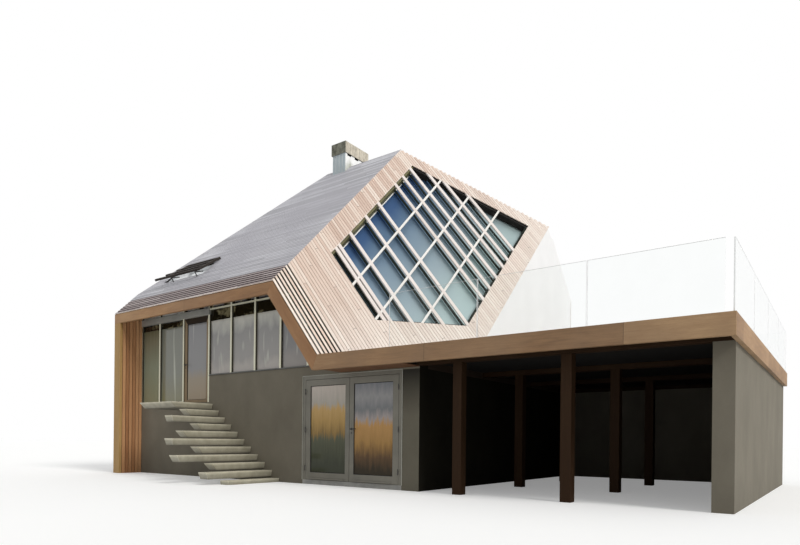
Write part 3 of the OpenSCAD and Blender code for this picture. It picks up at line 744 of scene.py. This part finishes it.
dark_render = plaster(
    "dark wall render", (0.147, 0.13, 0.097), (0.197, 0.176, 0.134), (0.1, 0.089, 0.065)
)
# Painted shade: the wall beside the door is darker, most of all near its top under the deck.
door_render = plaster(
    "shaded door wall", (0.12, 0.108, 0.078), (0.165, 0.15, 0.112), (0.085, 0.077, 0.056),
    shade_under_deck=True,
)
# Near black render: painted shade for the undercroft and for wall returns that lie in shade.
shaded_render = plaster(
    "shaded undercroft render", (0.012, 0.0105, 0.007), (0.021, 0.019, 0.013), (0.012, 0.01, 0.008),
    shine=0.1,
)
white_render = plaster(
    "white gable render", (0.89, 0.89, 0.89), (0.95, 0.95, 0.95), (0.8, 0.79, 0.76), 120
)
stained_render = plaster(
    "white chimney render", (0.97, 0.97, 0.95), (0.99, 0.99, 0.975), (0.16, 0.18, 0.07), 120,
    5, on_ridge=True,
)
cap_render = plaster(
    "weathered cap", (0.4, 0.36, 0.29), (0.8, 0.73, 0.6), (0.3, 0.3, 0.2), 60, 8
)
dark_cap_render = plaster(
    "darker front cap", (0.05, 0.05, 0.034), (0.3, 0.3, 0.24), (0.1, 0.1, 0.07), 60, 9
)
slab = cast("ground slab", (0.24, 0.235, 0.22), (0.38, 0.375, 0.35))
down_riser = [
    (0, 1), (0.14, 0.88), (0.27, 0.68), (0.38, 0.6), (0.66, 0.555), (0.82, 0.45), (1, 0.33),
]
tread = cast("cast treads", (0.414, 0.382, 0.283), (0.67, 0.632, 0.493), down_plank=down_riser)
# Painted light: a paler copy of the treads' finish, for their ends that face the front.
lit_tread_end = cast("cast tread ends with painted light", (0.6, 0.56, 0.43), (0.92, 0.87, 0.7), down_plank=down_riser)
felt = rubber("dark underlay", (0.02, 0.019, 0.018))
gasket = rubber("black gasket", (0.018, 0.018, 0.018))
header_metal = metal("grey header metal", (0.42, 0.42, 0.385), 0.5, 0.35)
door_metal = metal("grey door metal", (0.188, 0.178, 0.147), 0.55, 0.2)
casing_metal = metal("pale door casing", (0.4, 0.4, 0.35), 0.5, 0.2)
steel = metal("dark steel", (0.055, 0.052, 0.05), 0.38, 0.8)
sill_metal = metal("grey sill metal", (0.16, 0.165, 0.15), 0.5, 0.2)
trim_metal = metal("white glazing trim", (0.93, 0.94, 0.93), 0.5, 0, 0.01)
panel_metal = metal("grey chimney panels", (0.465, 0.53, 0.555), 0.6, 0, 0.04)

# Glass, whose painted reflections run up each pane in tones with soft bands and streaks
on_big_panes = basis(face_point(WINDOW_S, WINDOW_T), slope, rake - skew_c * slope)
BIG_PANES = 3.73, (0.9, 0.9, 0.24)
# Painted sky reflection, from deep blue to pale teal across the panes.
big_tones = [
    (0.08, (0.046, 0.098, 0.21)), (0.18, (0.105, 0.172, 0.262)), (0.34, (0.182, 0.254, 0.324)),
    (0.6, (0.285, 0.356, 0.39)), (0.85, (0.356, 0.446, 0.448)),
]
big_glass = pane_glass(
    "big window glass", on_big_panes, big_tones, *BIG_PANES, shine=0.15, coated=0.78, rough=0.4
)
# Painted reflection: the bars' lower sides carry the glass's tones, brightened where they lie in
# shade.
bar_side = pane_glass(
    "bar sides painted with glass reflection", on_big_panes, [(u, tuple(1.9 * c for c in tone)) for u, tone in big_tones],
    *BIG_PANES, shine=0.1,
)
# Painted reflections: the eave soffit's dark band with glints, and bright sky above the transoms.
soffit_reflection_band = (2.145, (0.012, 0.01, 0.005), (0.24, 0.21, 0.12))
sky_reflection_band = (2.475, (0.75, 0.75, 0.7), (0.97, 0.97, 0.93))
on_panes = basis(at(0, 0, FLOOR_Z), RIGHT, UP)


def front_glass(
    name, stops, clouds=(5, 0.35, 0.12), bands=(soffit_reflection_band, sky_reflection_band),
    painted_glints=(4.5, 0.25, 1, 0, 0.4),
):
    """Glass of the row of windows over the ground storey, with painted reflections in it."""
    return pane_glass(name, on_panes, stops, 2.15, clouds, bands, painted_glints)


green_glass = front_glass(
    "green grey end pane",
    [(0.1, (0.272, 0.282, 0.183)), (0.5, (0.272, 0.308, 0.226)), (0.85, (0.22, 0.21, 0.14)),
     (1, (0.15, 0.15, 0.09))], (9, 0.3, 0.2),
)
grey_glass = front_glass(
    "grey green panes",
    [(0.05, (0.218, 0.208, 0.117)), (0.4, (0.208, 0.214, 0.174)), (1, (0.196, 0.202, 0.163))],
)
rose_glass = front_glass(
    "rose grey panes",
    [(0.4, (0.43, 0.395, 0.365)), (0.5, (0.325, 0.31, 0.295)), (0.85, (0.285, 0.28, 0.27)),
     (1, (0.55, 0.54, 0.48))], (2.2, 0.9, 0.42), (soffit_reflection_band,), (4, 0.7, 1, 0.45, 0.5),
)
# Painted shade: darker tones for the end pane, which lies in the raking fascia's shadow.
shaded_end_glass = front_glass(
    "shaded grey end pane",
    [(0.4, (0.3, 0.275, 0.255)), (0.6, (0.235, 0.228, 0.226)), (1, (0.21, 0.208, 0.212))],
    (2.2, 0.9, 0.42), (soffit_reflection_band,), (4, 0.7, 1, 0.45, 0.3),
)
upper_door_glazing = front_glass(
    "upper door glass",
    [(0.05, (0.32, 0.24, 0.145)), (0.3, (0.31, 0.253, 0.18)), (0.42, (0.253, 0.248, 0.248)),
     (1, (0.25, 0.25, 0.26))],
)
LOWER_PANE = 1.962
on_doors = basis(at(0, 0, 0.273), RIGHT, UP)
# Painted reflections in the lower door panes, in bands and fine upright streaks.
left_door_glass = pane_glass(
    "left lower door glass", on_doors,
    [(0.1, (0.055, 0.06, 0.04)), (0.38, (0.1, 0.105, 0.065)), (0.46, (0.28, 0.175, 0.055)),
     (0.6, (0.46, 0.29, 0.095)), (0.72, (0.56, 0.36, 0.14)), (0.79, (0.44, 0.405, 0.35)),
     (1, (0.6, 0.53, 0.47))],
    LOWER_PANE, (14, 1.6, 0.3), shine=0.2,
)
right_door_glass = pane_glass(
    "right lower door glass", on_doors,
    [(0.05, (0.04, 0.03, 0.017)), (0.2, (0.13, 0.075, 0.035)), (0.36, (0.4, 0.225, 0.07)),
     (0.54, (0.52, 0.29, 0.1)), (0.61, (0.39, 0.345, 0.33)), (0.72, (0.205, 0.212, 0.22)),
     (0.85, (0.33, 0.325, 0.325)), (1, (0.215, 0.225, 0.245))],
    LOWER_PANE, (11, 1.9, 0.26), shine=0.2,
)
dark_glass = pane_glass(
    "dark glass", on_long, [(0, (0.05, 0.055, 0.055)), (1, (0.12, 0.135, 0.14))], 8
)
# Near white: a painted reflection of the sky in the roof window.
sky_glass = pane_glass(
    "roof window glass with painted sky reflection", on_long, [(0, (0.74, 0.79, 0.82)), (1, (0.88, 0.91, 0.93))], 8
)
rail_glass = clear_glass("balustrade glass", (0.97, 0.985, 0.98))
# Near white: a painted highlight for the polished glass edges.
glass_edge = pane_glass(
    "polished glass edge with painted highlight", on_long, [(0, (0.94, 0.955, 0.95)), (1, (0.98, 0.985, 0.98))], 6
)


# Front and back slopes: long boards along the eave, mitred where the planes meet
def mitre(obj, point, here, *neighbours):
    """Ends a field of boards halfway between its own plane and each neighbour's."""
    for there in neighbours:
        trim(obj, point, (there - here).normalized())


ROOF_GAP = 0.011
front_field = boards(
    "front_roof_boards", on_front, range(ROOF_ROWS), ROOF_PITCH, ROOF_GAP, (-6.9, 0.2),
    ROOF_BOARD,
)
mitre(front_field, arris_foot, front_out, face_out)
mitre(front_field, ridge_left, front_out, left_out, back_out)
trim(front_field, corner, LEFT)

back_rows = math.ceil((DEPTH - RIDGE_Y) / ROOT_HALF / ROOF_PITCH)
back_field = boards(
    "back_roof_boards", on_back, range(back_rows), ROOF_PITCH, ROOF_GAP, (-6.3, 0.2),
    ROOF_BOARD,
)
mitre(back_field, ridge_left, back_out, front_out, left_out)
trim(back_field, arris_foot, face_out, BACK_EDGE_T + 0.002)
trim(back_field, at(LENGTH - WALL, 0, 0), RIGHT)
trim(back_field, at(0, DEPTH, 0), BACK)

left_field = boards(
    "left_slope_boards", on_left, range(-2, 77), ROOF_PITCH, ROOF_GAP, (-8.5, 6.2),
    ROOF_BOARD,
)
mitre(left_field, ridge_left, left_out, front_out, back_out)
trim(left_field, at(0, DEPTH, 0), BACK)
trim(left_field, corner, LEFT)
trim(left_field, at(0, 0, FLOOR_Z), DOWN)

# The big face: boards down the rake, square-cut along the back roof's edge
back_edge_rise = RIDGE_Y + RIDGE_Z - EAVE + OVERHANG
gable_run = (LENGTH - FACE_X) / rake.x


def face_ends(v0, v1):
    """Where a row starts, at the arris or the back roof's edge, and where the gable ends it."""
    arris = (v0 + v1) / 2 / skew_s * skew_c - 0.2
    edge = (v1 / skew_s - back_edge_rise / math.sqrt(2)) / (-rake.z / math.sqrt(2))
    top = edge + v1 / skew_s * skew_c + 0.001
    return max(arris, top), gable_run + v0 / skew_s * skew_c + 0.1


face_field = boards(
    "big_face_boards", on_face, range(7, 109), FACE_PITCH, 0.009, face_ends, FACE_BOARD
)
mitre(face_field, arris_foot, face_out, front_out)
trim(face_field, at(LENGTH, 0, 0), RIGHT)
trim(face_field, at(0, 0, DECK + 0.006), DOWN)


# The skewed window's outline on the big face
def up_at_back(s):
    return (back_edge_rise - WINDOW_BORDER * math.sqrt(2) - s * rake.z) / math.sqrt(2)


window_end = (LENGTH - 0.373 - FACE_X) / rake.x
window = [
    face_point(s, t)
    for s, t in (
        (WINDOW_S, WINDOW_T),
        ((WINDOW_Z - EAVE - WINDOW_T * slope.z) / rake.z, WINDOW_T),
        (window_end, (WINDOW_Z - EAVE - window_end * rake.z) / slope.z),
        (window_end, up_at_back(window_end)),
        (WINDOW_S, up_at_back(WINDOW_S)),
    )
]
window_middle = sum(window, Vector()) / 5

# Each side of the window as its two ends and its outward direction in the face
sides = []
for a, b in zip(window, window[1:] + window[:1]):
    outward = (b - a).cross(face_out).normalized()
    if (window_middle - a).dot(outward) > 0:
        outward.negate()
    sides.append((a, b, outward))

opening = block("opening", Vector((-6, -6, -0.5)), Vector((6, 6, 0.5)))
opening.data.transform(basis(window_middle, rake, face_across))
for point, _, outward in sides:
    trim(opening, point, outward)
carve(opening, face_field)
fit(face_field, face_wood, "cedar_boards")

on_flap = basis(at(0.8, 0.8, EAVE + OVERHANG + 0.8), RIGHT, slope)
skylight = block("skylight", Vector((0.11, -0.75, -0.5)), Vector((1.99, -0.11, 0.3)))
skylight.data.transform(on_flap)
carve(skylight, front_field, left_field)
fit(front_field, roof_wood, "grey_boards")
fit(back_field, back_wood, "grey_boards")
fit(left_field, left_wood, "cedar_boards")

# What carries the boards
roof_planes = [
    (arris_foot, front_out, BOARD_T), (ridge_left, back_out, BOARD_T),
    (ridge_left, left_out, BOARD_T), (arris_foot, face_out, BOARD_T),
]
for node in ("front_roof", "back_roof", "left_face"):
    core(node, roof_planes)
face_core = core("big_face", [
    (arris_foot, front_out, BOARD_T), (ridge_left, back_out, BACK_EDGE_T),
    (arris_foot, face_out, BOARD_T),
])
tint(face_core, white_render, facing(RIGHT, 0.99))

# Boarded walls on the left and at the back
behind_fascia = at(0, -OVERHANG + FASCIA, 0)
left_plane = [(corner, LEFT, BOARD_T)]
core("left_wing", left_plane)
core("left_wall", left_plane)
WALL_GAP = 0.008
outside = boards(
    "left_wall_boards", basis(at(0, -0.69, 0), UP, BACK), range(37), WALL_PITCH, WALL_GAP, (0, 5.4)
)
trim(outside, behind_fascia, FRONT)
trim(outside, arris_foot, front_out, 0.03)
trim(outside, ridge_left, left_out, 0.02)
carve(block("lower", at(-0.5, 0, -1), at(0.5, 5, FLOOR_Z)), outside)
fit(outside, wall_wood, "orange_boards")

REVEAL_T = 0.018
on_reveal = basis(at(WALL + REVEAL_T, 0, 0), UP, FRONT)
reveal = boards(
    "left_reveal_boards", on_reveal, range(6), REVEAL_PITCH, 0.014, (0, 5), thickness=REVEAL_T
)
reveal_wood = wood(
    "orange reveal boards", on_reveal,
    [(0.27, 0.11, 0.037), (0.49, 0.245, 0.108), (0.69, 0.4, 0.205)], REVEAL_PITCH,
)
trim(reveal, arris_foot, front_out, 0.135)
trim(reveal, behind_fascia, FRONT)
fit(reveal, reveal_wood, "orange_boards")

core("back_wall", [(at(0, DEPTH, 0), BACK, BOARD_T)])
back_boards = boards(
    "back_wall_boards", basis(at(0, DEPTH, 0), UP, RIGHT), range(90), WALL_PITCH, WALL_GAP,
    lambda v0, v1: (FLOOR_Z if v1 < 3.51 else 2.62, 5.6),
)
trim(back_boards, at(LENGTH, 0, 0), RIGHT)
trim(back_boards, ridge_left, back_out, 0.03)
trim(back_boards, ridge_left, left_out, 0.03)
hole_low, hole_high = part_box("back_window_frame")
carve(block("hole", hole_low - BACK, hole_high + BACK), back_boards)
fit(back_boards, back_wall_wood, "cedar_boards")

# Deck boards on the slab
core("deck_slab", [(at(0, 0, DECK), UP, 0.024)])
on_deck_top = basis(at(0, -OVERHANG + FASCIA, DECK), RIGHT, BACK)
deck_rows = math.ceil((DEPTH + OVERHANG - FASCIA) / DECK_PITCH)
deck_field = boards(
    "deck_boards", on_deck_top, range(deck_rows), DECK_PITCH, 0.006,
    lambda v0, v1: (LENGTH + 0.002 if v0 > 3.9 else FACE_X, TOTAL_LENGTH - FASCIA - 0.003),
    DECK_BOARD, 0.023,
)
trim(deck_field, at(0, DEPTH, 0), BACK)
deck_cutter = block("cutter", at(5, -1.5, 2), at(LENGTH, 12, 3.5))
trim(deck_cutter, arris_foot, face_out, -0.004)
carve(deck_cutter, deck_field)
fit(deck_field, deck_wood, "brown_timber")

# CAD nodes whose edges are eased and which take their finish
slats = eased("eave_slats", 0.003, slat_wood, "dark_slats")
# Painted shade on the slats' lower edges, here and on the face slats.
tint(slats, shaded_slat_edge_wood, facing(-slope, 0.5))
slats = eased("face_slats", 0.003, bleached_wood, "cedar_boards")
tint(slats, shaded_slat_edge_wood, facing(-face_across, 0.5))
capping = block(
    "eave_capping", at(0, -OVERHANG - 0.005, EAVE - 0.016),
    at(6.9, -OVERHANG - 0.0002, EAVE - 0.002),
)
ease(capping, 0.002)
trim(capping, arris_foot, face_out)
fit(capping, bleached_wood, "cedar_boards")
eased("eave_fascia", 0.004, beam_wood, "brown_timber")
eased("raking_fascia", 0.004, rake_wood, "brown_timber")
edge = eased("deck_fascia", 0.004, deck_edge_wood, "brown_timber")
tint(edge, deck_end_wood, lambda c, n: abs(n.x) > 0.9)
eased("end_post", 0.004, post_wood, "brown_timber")
eased("deck_beams", 0.005, deck_beam_wood, "brown_timber")
eased("deck_posts", 0.005, deep_wood, "brown_timber")

# Treads, whose outer ends are drawn in from the CAD's to where the photograph shows them.
# The landing is right as it is, and the longest one keeps its length, which sets the depth.
DRAWN_IN = [0, 0.18, 0.2, 0.17, 0.18, 0.16, 0.23, 0, 0.25, 0.2, 0.18]
wall_side = at(0, -0.5, 0).y
treads = copy_of("stair_treads", "stair_treads_eased")
for steps_down, amount in enumerate(DRAWN_IN):
    top = TOP_TREAD_Z - steps_down * RISER
    outer_end = [
        v.index for v in treads.data.vertices
        if top - TREAD_T - 0.001 < v.co.z < top + 0.001 and v.co.y < wall_side
    ]
    move_points(treads, outer_end, (0, amount, 0))
ease(treads, 0.006)
fit(treads, tread, "concrete", stands_for=["stair_treads"])
# Painted light on the tread ends that face the front.
tint(treads, lit_tread_end, facing(FRONT, 0.5))

eased("header_beam", 0.003, header_metal, "pale_metal")
deck_end = at(15.8, 8.1, 0)
# The balustrade glass's edges take a painted highlight.
tint(
    eased("balustrade_glass", 0.002, rail_glass, "rail_glass"), glass_edge,
    lambda c, n: abs(n.z) > 0.5 or abs(n.y) > 0.5 and c.x > deck_end.x
    or abs(n.x) > 0.5 and not wall_side <= c.y <= deck_end.y,
)
eased("roof_flap", 0.004, flap_wood, "dark_slats")


def on_hinge(c, n):
    """Faces of the knuckles, which stand in front of the leaves at the hinge axes."""
    return c.y < -2.981 and min(abs(c.x + 0.861), abs(c.x - 1.791)) < 0.012


for node, body in (
    ("door_frame", "root"), ("door_leaf_left", "left_leaf"), ("door_leaf_right", "right_leaf"),
):
    tint(eased(node, 0.002, door_metal, "grey_metal", body), steel, on_hinge)
eased("door_lever", 0.002, steel, "steel", "right_leaf")

# CAD nodes that are shown as they are
for slot, rows in (
    ("concrete", [(slab, "ground_floor")]),
    ("dark_render", [
        (dark_render, "front_wall front_wall_over_door back_wall_base left_wall_base"),
        (dark_render, "deck_end_wall deck_back_wall"),
        # The undercroft's wall takes painted shade.
        (door_render, "front_wall_right"), (shaded_render, "gable_wall_base"),
    ]),
    ("white_render", [(white_render, "gable_wall")]),
    ("brown_timber", [(floor_wood, "entry_floor main_floor"), (door_wood, "upper_door")]),
    ("dark_slats", [(dark_wood, "eave_rafters face_rafters")]),
    ("pale_timber", [(frame_wood, "front_window_frame back_window_frame")]),
    ("window_glass", [
        (big_glass, "big_window_glass"), (rose_glass, "front_window_glass"),
        (upper_door_glazing, "upper_door_glass"), (dark_glass, "back_window_glass"),
        (sky_glass, "roof_window"), (left_door_glass, "door_glass_left"),
        (right_door_glass, "door_glass_right"),
    ]),
):
    for finish, names in rows:
        for name in names.split():
            paint(nodes[name], finish)
first_pane, second_pane, last_pane = (at(x, 0, 0).x for x in (1.2, 2.35, 6.25))
door_face = at(0, 0.0245, 0).y
for name, finish, test in (
    # Painted shade on the right-facing return beside the door; the undercroft wall's back face
    # keeps the plain render.
    ("front_wall_right", shaded_render, facing(RIGHT)),
    ("gable_wall_base", dark_render, facing(BACK)),
    ("main_floor", dark_wood, facing(RIGHT)),
    # Painted shade on the right-facing return over the door.
    ("front_wall_over_door", shaded_render, facing(RIGHT)),
    ("front_window_glass", grey_glass, lambda c, n: c.x < second_pane),
    ("front_window_glass", green_glass, lambda c, n: c.x < first_pane),
    # Painted shade on the end pane by the raking fascia.
    ("front_window_glass", shaded_end_glass, lambda c, n: c.x > last_pane),
    # Painted shade on the right-hand sides of the window posts.
    ("front_window_frame", shaded_wood, facing(RIGHT)),
    ("front_window_frame", sill_metal, lambda c, n: SILL - 0.01 < c.z < SILL + 0.025),
    # Painted shade on the upper door's head.
    ("upper_door", shaded_door_head_wood, lambda c, n: c.z > 4.14),
    ("upper_door", steel, lambda c, n: c.y < door_face),
):
    tint(nodes[name], finish, test)


# Glazing beads, drawn from the panes themselves
def beads(pane, name, outward, width, height):
    """A mitred bead round each pane of a glass node, standing on its outer face."""
    obj = copy_of(pane, name)
    pick(obj, "FACE", "polygons", lambda face: face.normal.dot(outward) < 0.99)
    bpy.ops.mesh.delete(type="FACE")
    done()
    edit(obj)
    bpy.ops.mesh.inset(thickness=width, use_individual=True)
    bpy.ops.mesh.delete(type="FACE")
    done()
    thick = obj.modifiers.new("bead", "SOLIDIFY")
    thick.thickness = height
    thick.offset = 1
    apply_all(obj)
    ease(obj, 0.002, 60)
    return obj


fit(beads("front_window_glass", "front_beads", FRONT, 0.01, 0.012), gasket, "steel")
fit(beads("upper_door_glass", "upper_door_beads", FRONT, 0.01, 0.012), gasket, "steel")
fit(beads("back_window_glass", "back_beads", BACK, 0.018, 0.022), frame_wood, "pale_timber")
for side in ("left", "right"):
    seal = beads("door_glass_" + side, "door_gasket_" + side, FRONT, 0.012, 0.01)
    fit(seal, gasket, "steel", side + "_leaf")

# Fins down the window and thinner bars across them
down_bars = [2.3, 2.45, 3.02, 3.87, 4.58, 5.64, 6.12, 6.61, 7.12, 7.47, 7.96]
FIN_W = 0.088
CROSS_W = 0.055
fins = repeat(
    "window_fins", plank(FIN_W, 0.04),
    [laid(on_face, -8, t * skew_s - FIN_W / 2, -0.005, 16) for t in down_bars],
)
up_pitch = (window_end - WINDOW_S) / 4
on_up = [
    basis(face_point(WINDOW_S + i * up_pitch, 0), slope, face_out.cross(slope)) for i in (1, 2, 3)
]
cross_bars = repeat(
    "cross_bars", plank(CROSS_W, 0.037),
    [laid(on, 0, -CROSS_W / 2, -0.0065, 12) for on in on_up],
)
cross_wood = wood(
    "pale cross bars", on_up[0], [(0.74, 0.7, 0.64), (0.88, 0.85, 0.8), (0.97, 0.96, 0.93)]
)
fins.data.materials.append(fin_wood)
cross_bars.data.materials.append(cross_wood)
fins = gather("window_fins", [fins, cross_bars])
for point, _, outward in sides:
    trim(fins, point, outward, 0.001)
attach(fins, "root")
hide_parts("big_window_fins")

# The frame behind the fins: olive where light catches its upper left side, and black painted shade
# on its top right side
BAR = 0.063
TOP_RIGHT, UPPER_LEFT = 3, 4
glass_frame = eased("big_window_frame", 0.003, bar_wood, "dark_slats")
for k, finish in ((TOP_RIGHT, felt), (UPPER_LEFT, olive_wood)):
    point, _, outward = sides[k]
    edit(glass_frame)
    bpy.ops.mesh.bisect(plane_co=point - BAR * outward, plane_no=outward)
    done()
for k, finish in ((TOP_RIGHT, felt), (UPPER_LEFT, olive_wood)):
    point, _, outward = sides[k]
    tint(glass_frame, finish, lambda c, n: (c - point).dot(outward) > -BAR - 0.0005)
# Painted reflection on the bars' lower sides.
tint(glass_frame, bar_side, facing(-face_across))
bead_a, bead_b, bead_out = sides[UPPER_LEFT]
tint(
    face_core, olive_wood,
    lambda c, n: n.dot(bead_out) < -0.98 and (c - window_middle).length < 4,
)
tint(face_core, face_wood, lambda c, n: n.dot(back_out) > 0.5 or n.y > 0.5)


def upper_left_strip(name, model, behind, setback, y, z):
    """A plank along the window's upper left side, short of its corners by the setback."""
    on = basis(bead_b - behind * bead_out, bead_a - bead_b, -bead_out)
    if on.col[2].xyz.dot(face_out) < 0:
        on = basis(bead_a - behind * bead_out, bead_b - bead_a, -bead_out)
    run = (bead_b - bead_a).length - 2 * setback
    return repeat(name, model, [laid(on, setback, y, z, run)])


# A pale bead where the glass meets the frame there, and a pale strip along the board ends
bead = upper_left_strip("window_glazing_bead", plank(0.026, 0.016), BAR + 0.001, 0.06, 0, -0.188)
fit(bead, trim_metal, "pale_metal")
strip = upper_left_strip("window_board_end_strip", plank(0.012, 0.028, 0.002), 0, 0.02, -0.001, 0)
fit(strip, bleached_wood, "pale_timber")

# Soffit boards behind the deck's front edge
soffit = boards(
    "deck_soffit_boards", basis(at(0, 0, 2.496), RIGHT, FRONT), range(5), 0.119, 0.005,
    (8.16, LENGTH - 0.003), thickness=0.016,
)
fit(soffit, soffit_wood, "brown_timber")

# Chimney: seamed panels before and behind, white render at the sides
PANEL_T = 0.008
stack_low, stack_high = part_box("chimney_stack")
stack = core(
    "chimney_stack", [(stack_low, FRONT, PANEL_T), (stack_high, BACK, PANEL_T)],
    stained_render, "white_render",
)
tint(
    stack, felt,
    lambda c, n: c.z > 9.5 and abs(n.z) < 0.9 and stack_low.x + 0.003 < c.x < stack_high.x - 0.003,
)
panel_w = (stack_high.x - stack_low.x) / 4
seams = []
for x, y, across, out in (
    (stack_high.x, stack_low.y, LEFT, front_out), (stack_low.x, stack_high.y, RIGHT, back_out),
):
    panels = boards(
        "panels", basis(Vector((x, y, stack_low.z)), UP, across), range(4), panel_w, 0.016,
        (0, stack_high.z - stack_low.z), thickness=PANEL_T,
    )
    trim(panels, ridge_left, -out, -0.005)
    seams.append(panels)
fit(gather("chimney_panels", seams), panel_metal, "chimney_panel")

# Chimney cap: upright panels round the four sides, the front ones darker
CAP_T = 0.012
cap_low, cap_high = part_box("chimney_cap")
cap_size = cap_high - cap_low
cap_sides = []
for x, y, along in ((0, 0, RIGHT), (1, 0, BACK), (1, 1, LEFT), (0, 1, FRONT)):
    start = cap_low + Vector((x * cap_size.x, y * cap_size.y, 0))
    cap_sides.append((start, along, along.cross(UP), abs(along.dot(cap_size))))
core("chimney_cap", [(start, outward, CAP_T) for start, _, outward, _ in cap_sides])
courses = []
for k, (start, along, outward, run) in enumerate(cap_sides):
    setback, count = (0, 3) if k % 2 == 0 else (CAP_T + 0.0005, 5)
    on = basis(start + (run - setback) * along, UP, -along)
    pitch = (run - 2 * setback) / count
    courses.append(boards("cap", on, range(count), pitch, 0.003, (0, cap_size.z), thickness=CAP_T))
cap = fit(gather("chimney_cap_panels", courses), cap_render, "chimney_panel")
tint(cap, dark_cap_render, facing(FRONT, 0.5))

# Stays that hold the roof flap open
stays = []
for x in (0.72, 1.82):
    tip = on_flap @ Vector((x, -0.8, 0.128))
    for foot in (-0.83, -0.56):
        stays.append(rod("stay", on_flap @ Vector((x, foot, -0.01)), tip, 0.014, 10))
fit(gather("flap_stays", stays), steel, "steel")

# Casing round the double door, drip bars on its leaves, and the sill under the windows
frame_low, frame_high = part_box("door_frame")
wall_y = HOUSE.y
casing = block(
    "door_casing", Vector((frame_low.x - 0.014, wall_y - 0.012, frame_low.z)),
    Vector((frame_high.x + 0.014, wall_y + 0.001, frame_high.z + 0.014)),
)
inner = block(
    "inner", Vector((frame_low.x - 0.001, wall_y - 1, frame_low.z - 1)),
    Vector((frame_high.x + 0.001, wall_y + 1, frame_high.z + 0.001)),
)
carve(inner, casing)
ease(casing, 0.002)
fit(casing, casing_metal, "grey_metal")
for side in ("left", "right"):
    leaf_low, leaf_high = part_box("door_glass_" + side)
    drip = block(
        "drip_bar_" + side, Vector((leaf_low.x + 0.02, wall_y - 0.036, 0.128)),
        Vector((leaf_high.x - 0.02, wall_y - 0.0205, 0.15)),
    )
    bevel_edges(
        drip, lambda a, b: min(a.z, b.z) > 0.149 and max(a.y, b.y) < wall_y - 0.03, 0.011, 2
    )
    fit(drip, door_metal, "grey_metal", side + "_leaf")
sill_plate = block(
    "window_sill_plate", at(3.5, -0.022, SILL - 0.012), at(8.2, -0.0005, SILL - 0.003)
)
trim(sill_plate, arris_foot, face_out, 0.35)
fit(sill_plate, steel, "steel")

# Floor
bpy.ops.mesh.primitive_plane_add(size=400, location=(0, 0, -0.001))
ground = bpy.context.object
ground.name = "ground"
f = Finish("pale floor")
soft = f.ramp(f.noise(f.object, 0.2, 2), [(0.3, (0.84, 0.84, 0.83)), (0.7, (0.86, 0.86, 0.85))])
f.set(Base_Color=soft, Roughness=0.9)
paint(ground, f.material)
camera_ray = f.add("LightPath").outputs["Is Camera Ray"]
f.set(Emission_Color=(1, 1, 1, 1), Emission_Strength=f.times(camera_ray, 0.25))

# Light: white to the camera, in mirrors and through glass, softer on the house
scene = bpy.context.scene
scene.world = bpy.data.worlds.new("studio")
sky = Wiring(scene.world)
sky.tree.nodes.clear()
path = sky.add("LightPath").outputs
seen = sky.math("MAXIMUM", path["Is Camera Ray"], path["Is Glossy Ray"])
seen = sky.math("MAXIMUM", seen, path["Is Transmission Ray"])
soft_light = sky.add("Background", {"Color": (0.97, 0.985, 1, 1), "Strength": 0.52})
white = sky.add("Background", {"Color": (1, 1, 1, 1), "Strength": 1})
blend = sky.add("MixShader", {0: seen, 1: soft_light.outputs[0], 2: white.outputs[0]})
sky.add("OutputWorld", {0: blend.outputs[0]})

sun = bpy.data.lights.new("key", "SUN")
sun.energy = 1.75
sun.angle = math.radians(20)
sun.color = (1, 0.985, 0.96)
key = link("key", sun)
key.rotation_mode = "QUATERNION"
key.rotation_quaternion = Vector((0.8, -0.14, 0.6)).to_track_quat("Z", "Y")

# Camera, solved from the photograph in pixels of its frame
FRAME_W = 800
FOCAL_LENGTH = 608.5
HORIZON = 441
MIDDLE = 272.5
SENSOR = 36
look = Vector((-0.5906, 0.807, 0)).normalized()
roll = math.radians(0.6)
right = look.cross(UP) * math.cos(roll) + UP * math.sin(roll)
lens = bpy.data.cameras.new("view")
lens.sensor_width = SENSOR
lens.lens = FOCAL_LENGTH / FRAME_W * SENSOR
lens.shift_y = (HORIZON - MIDDLE) / FRAME_W
lens.clip_end = 1000
viewer = link("view", lens)
viewer.matrix_world = placed(right, right.cross(look), -look, (9.15, -12.975, 1.005))
scene.camera = viewer
scene.view_settings.view_transform = "Standard"
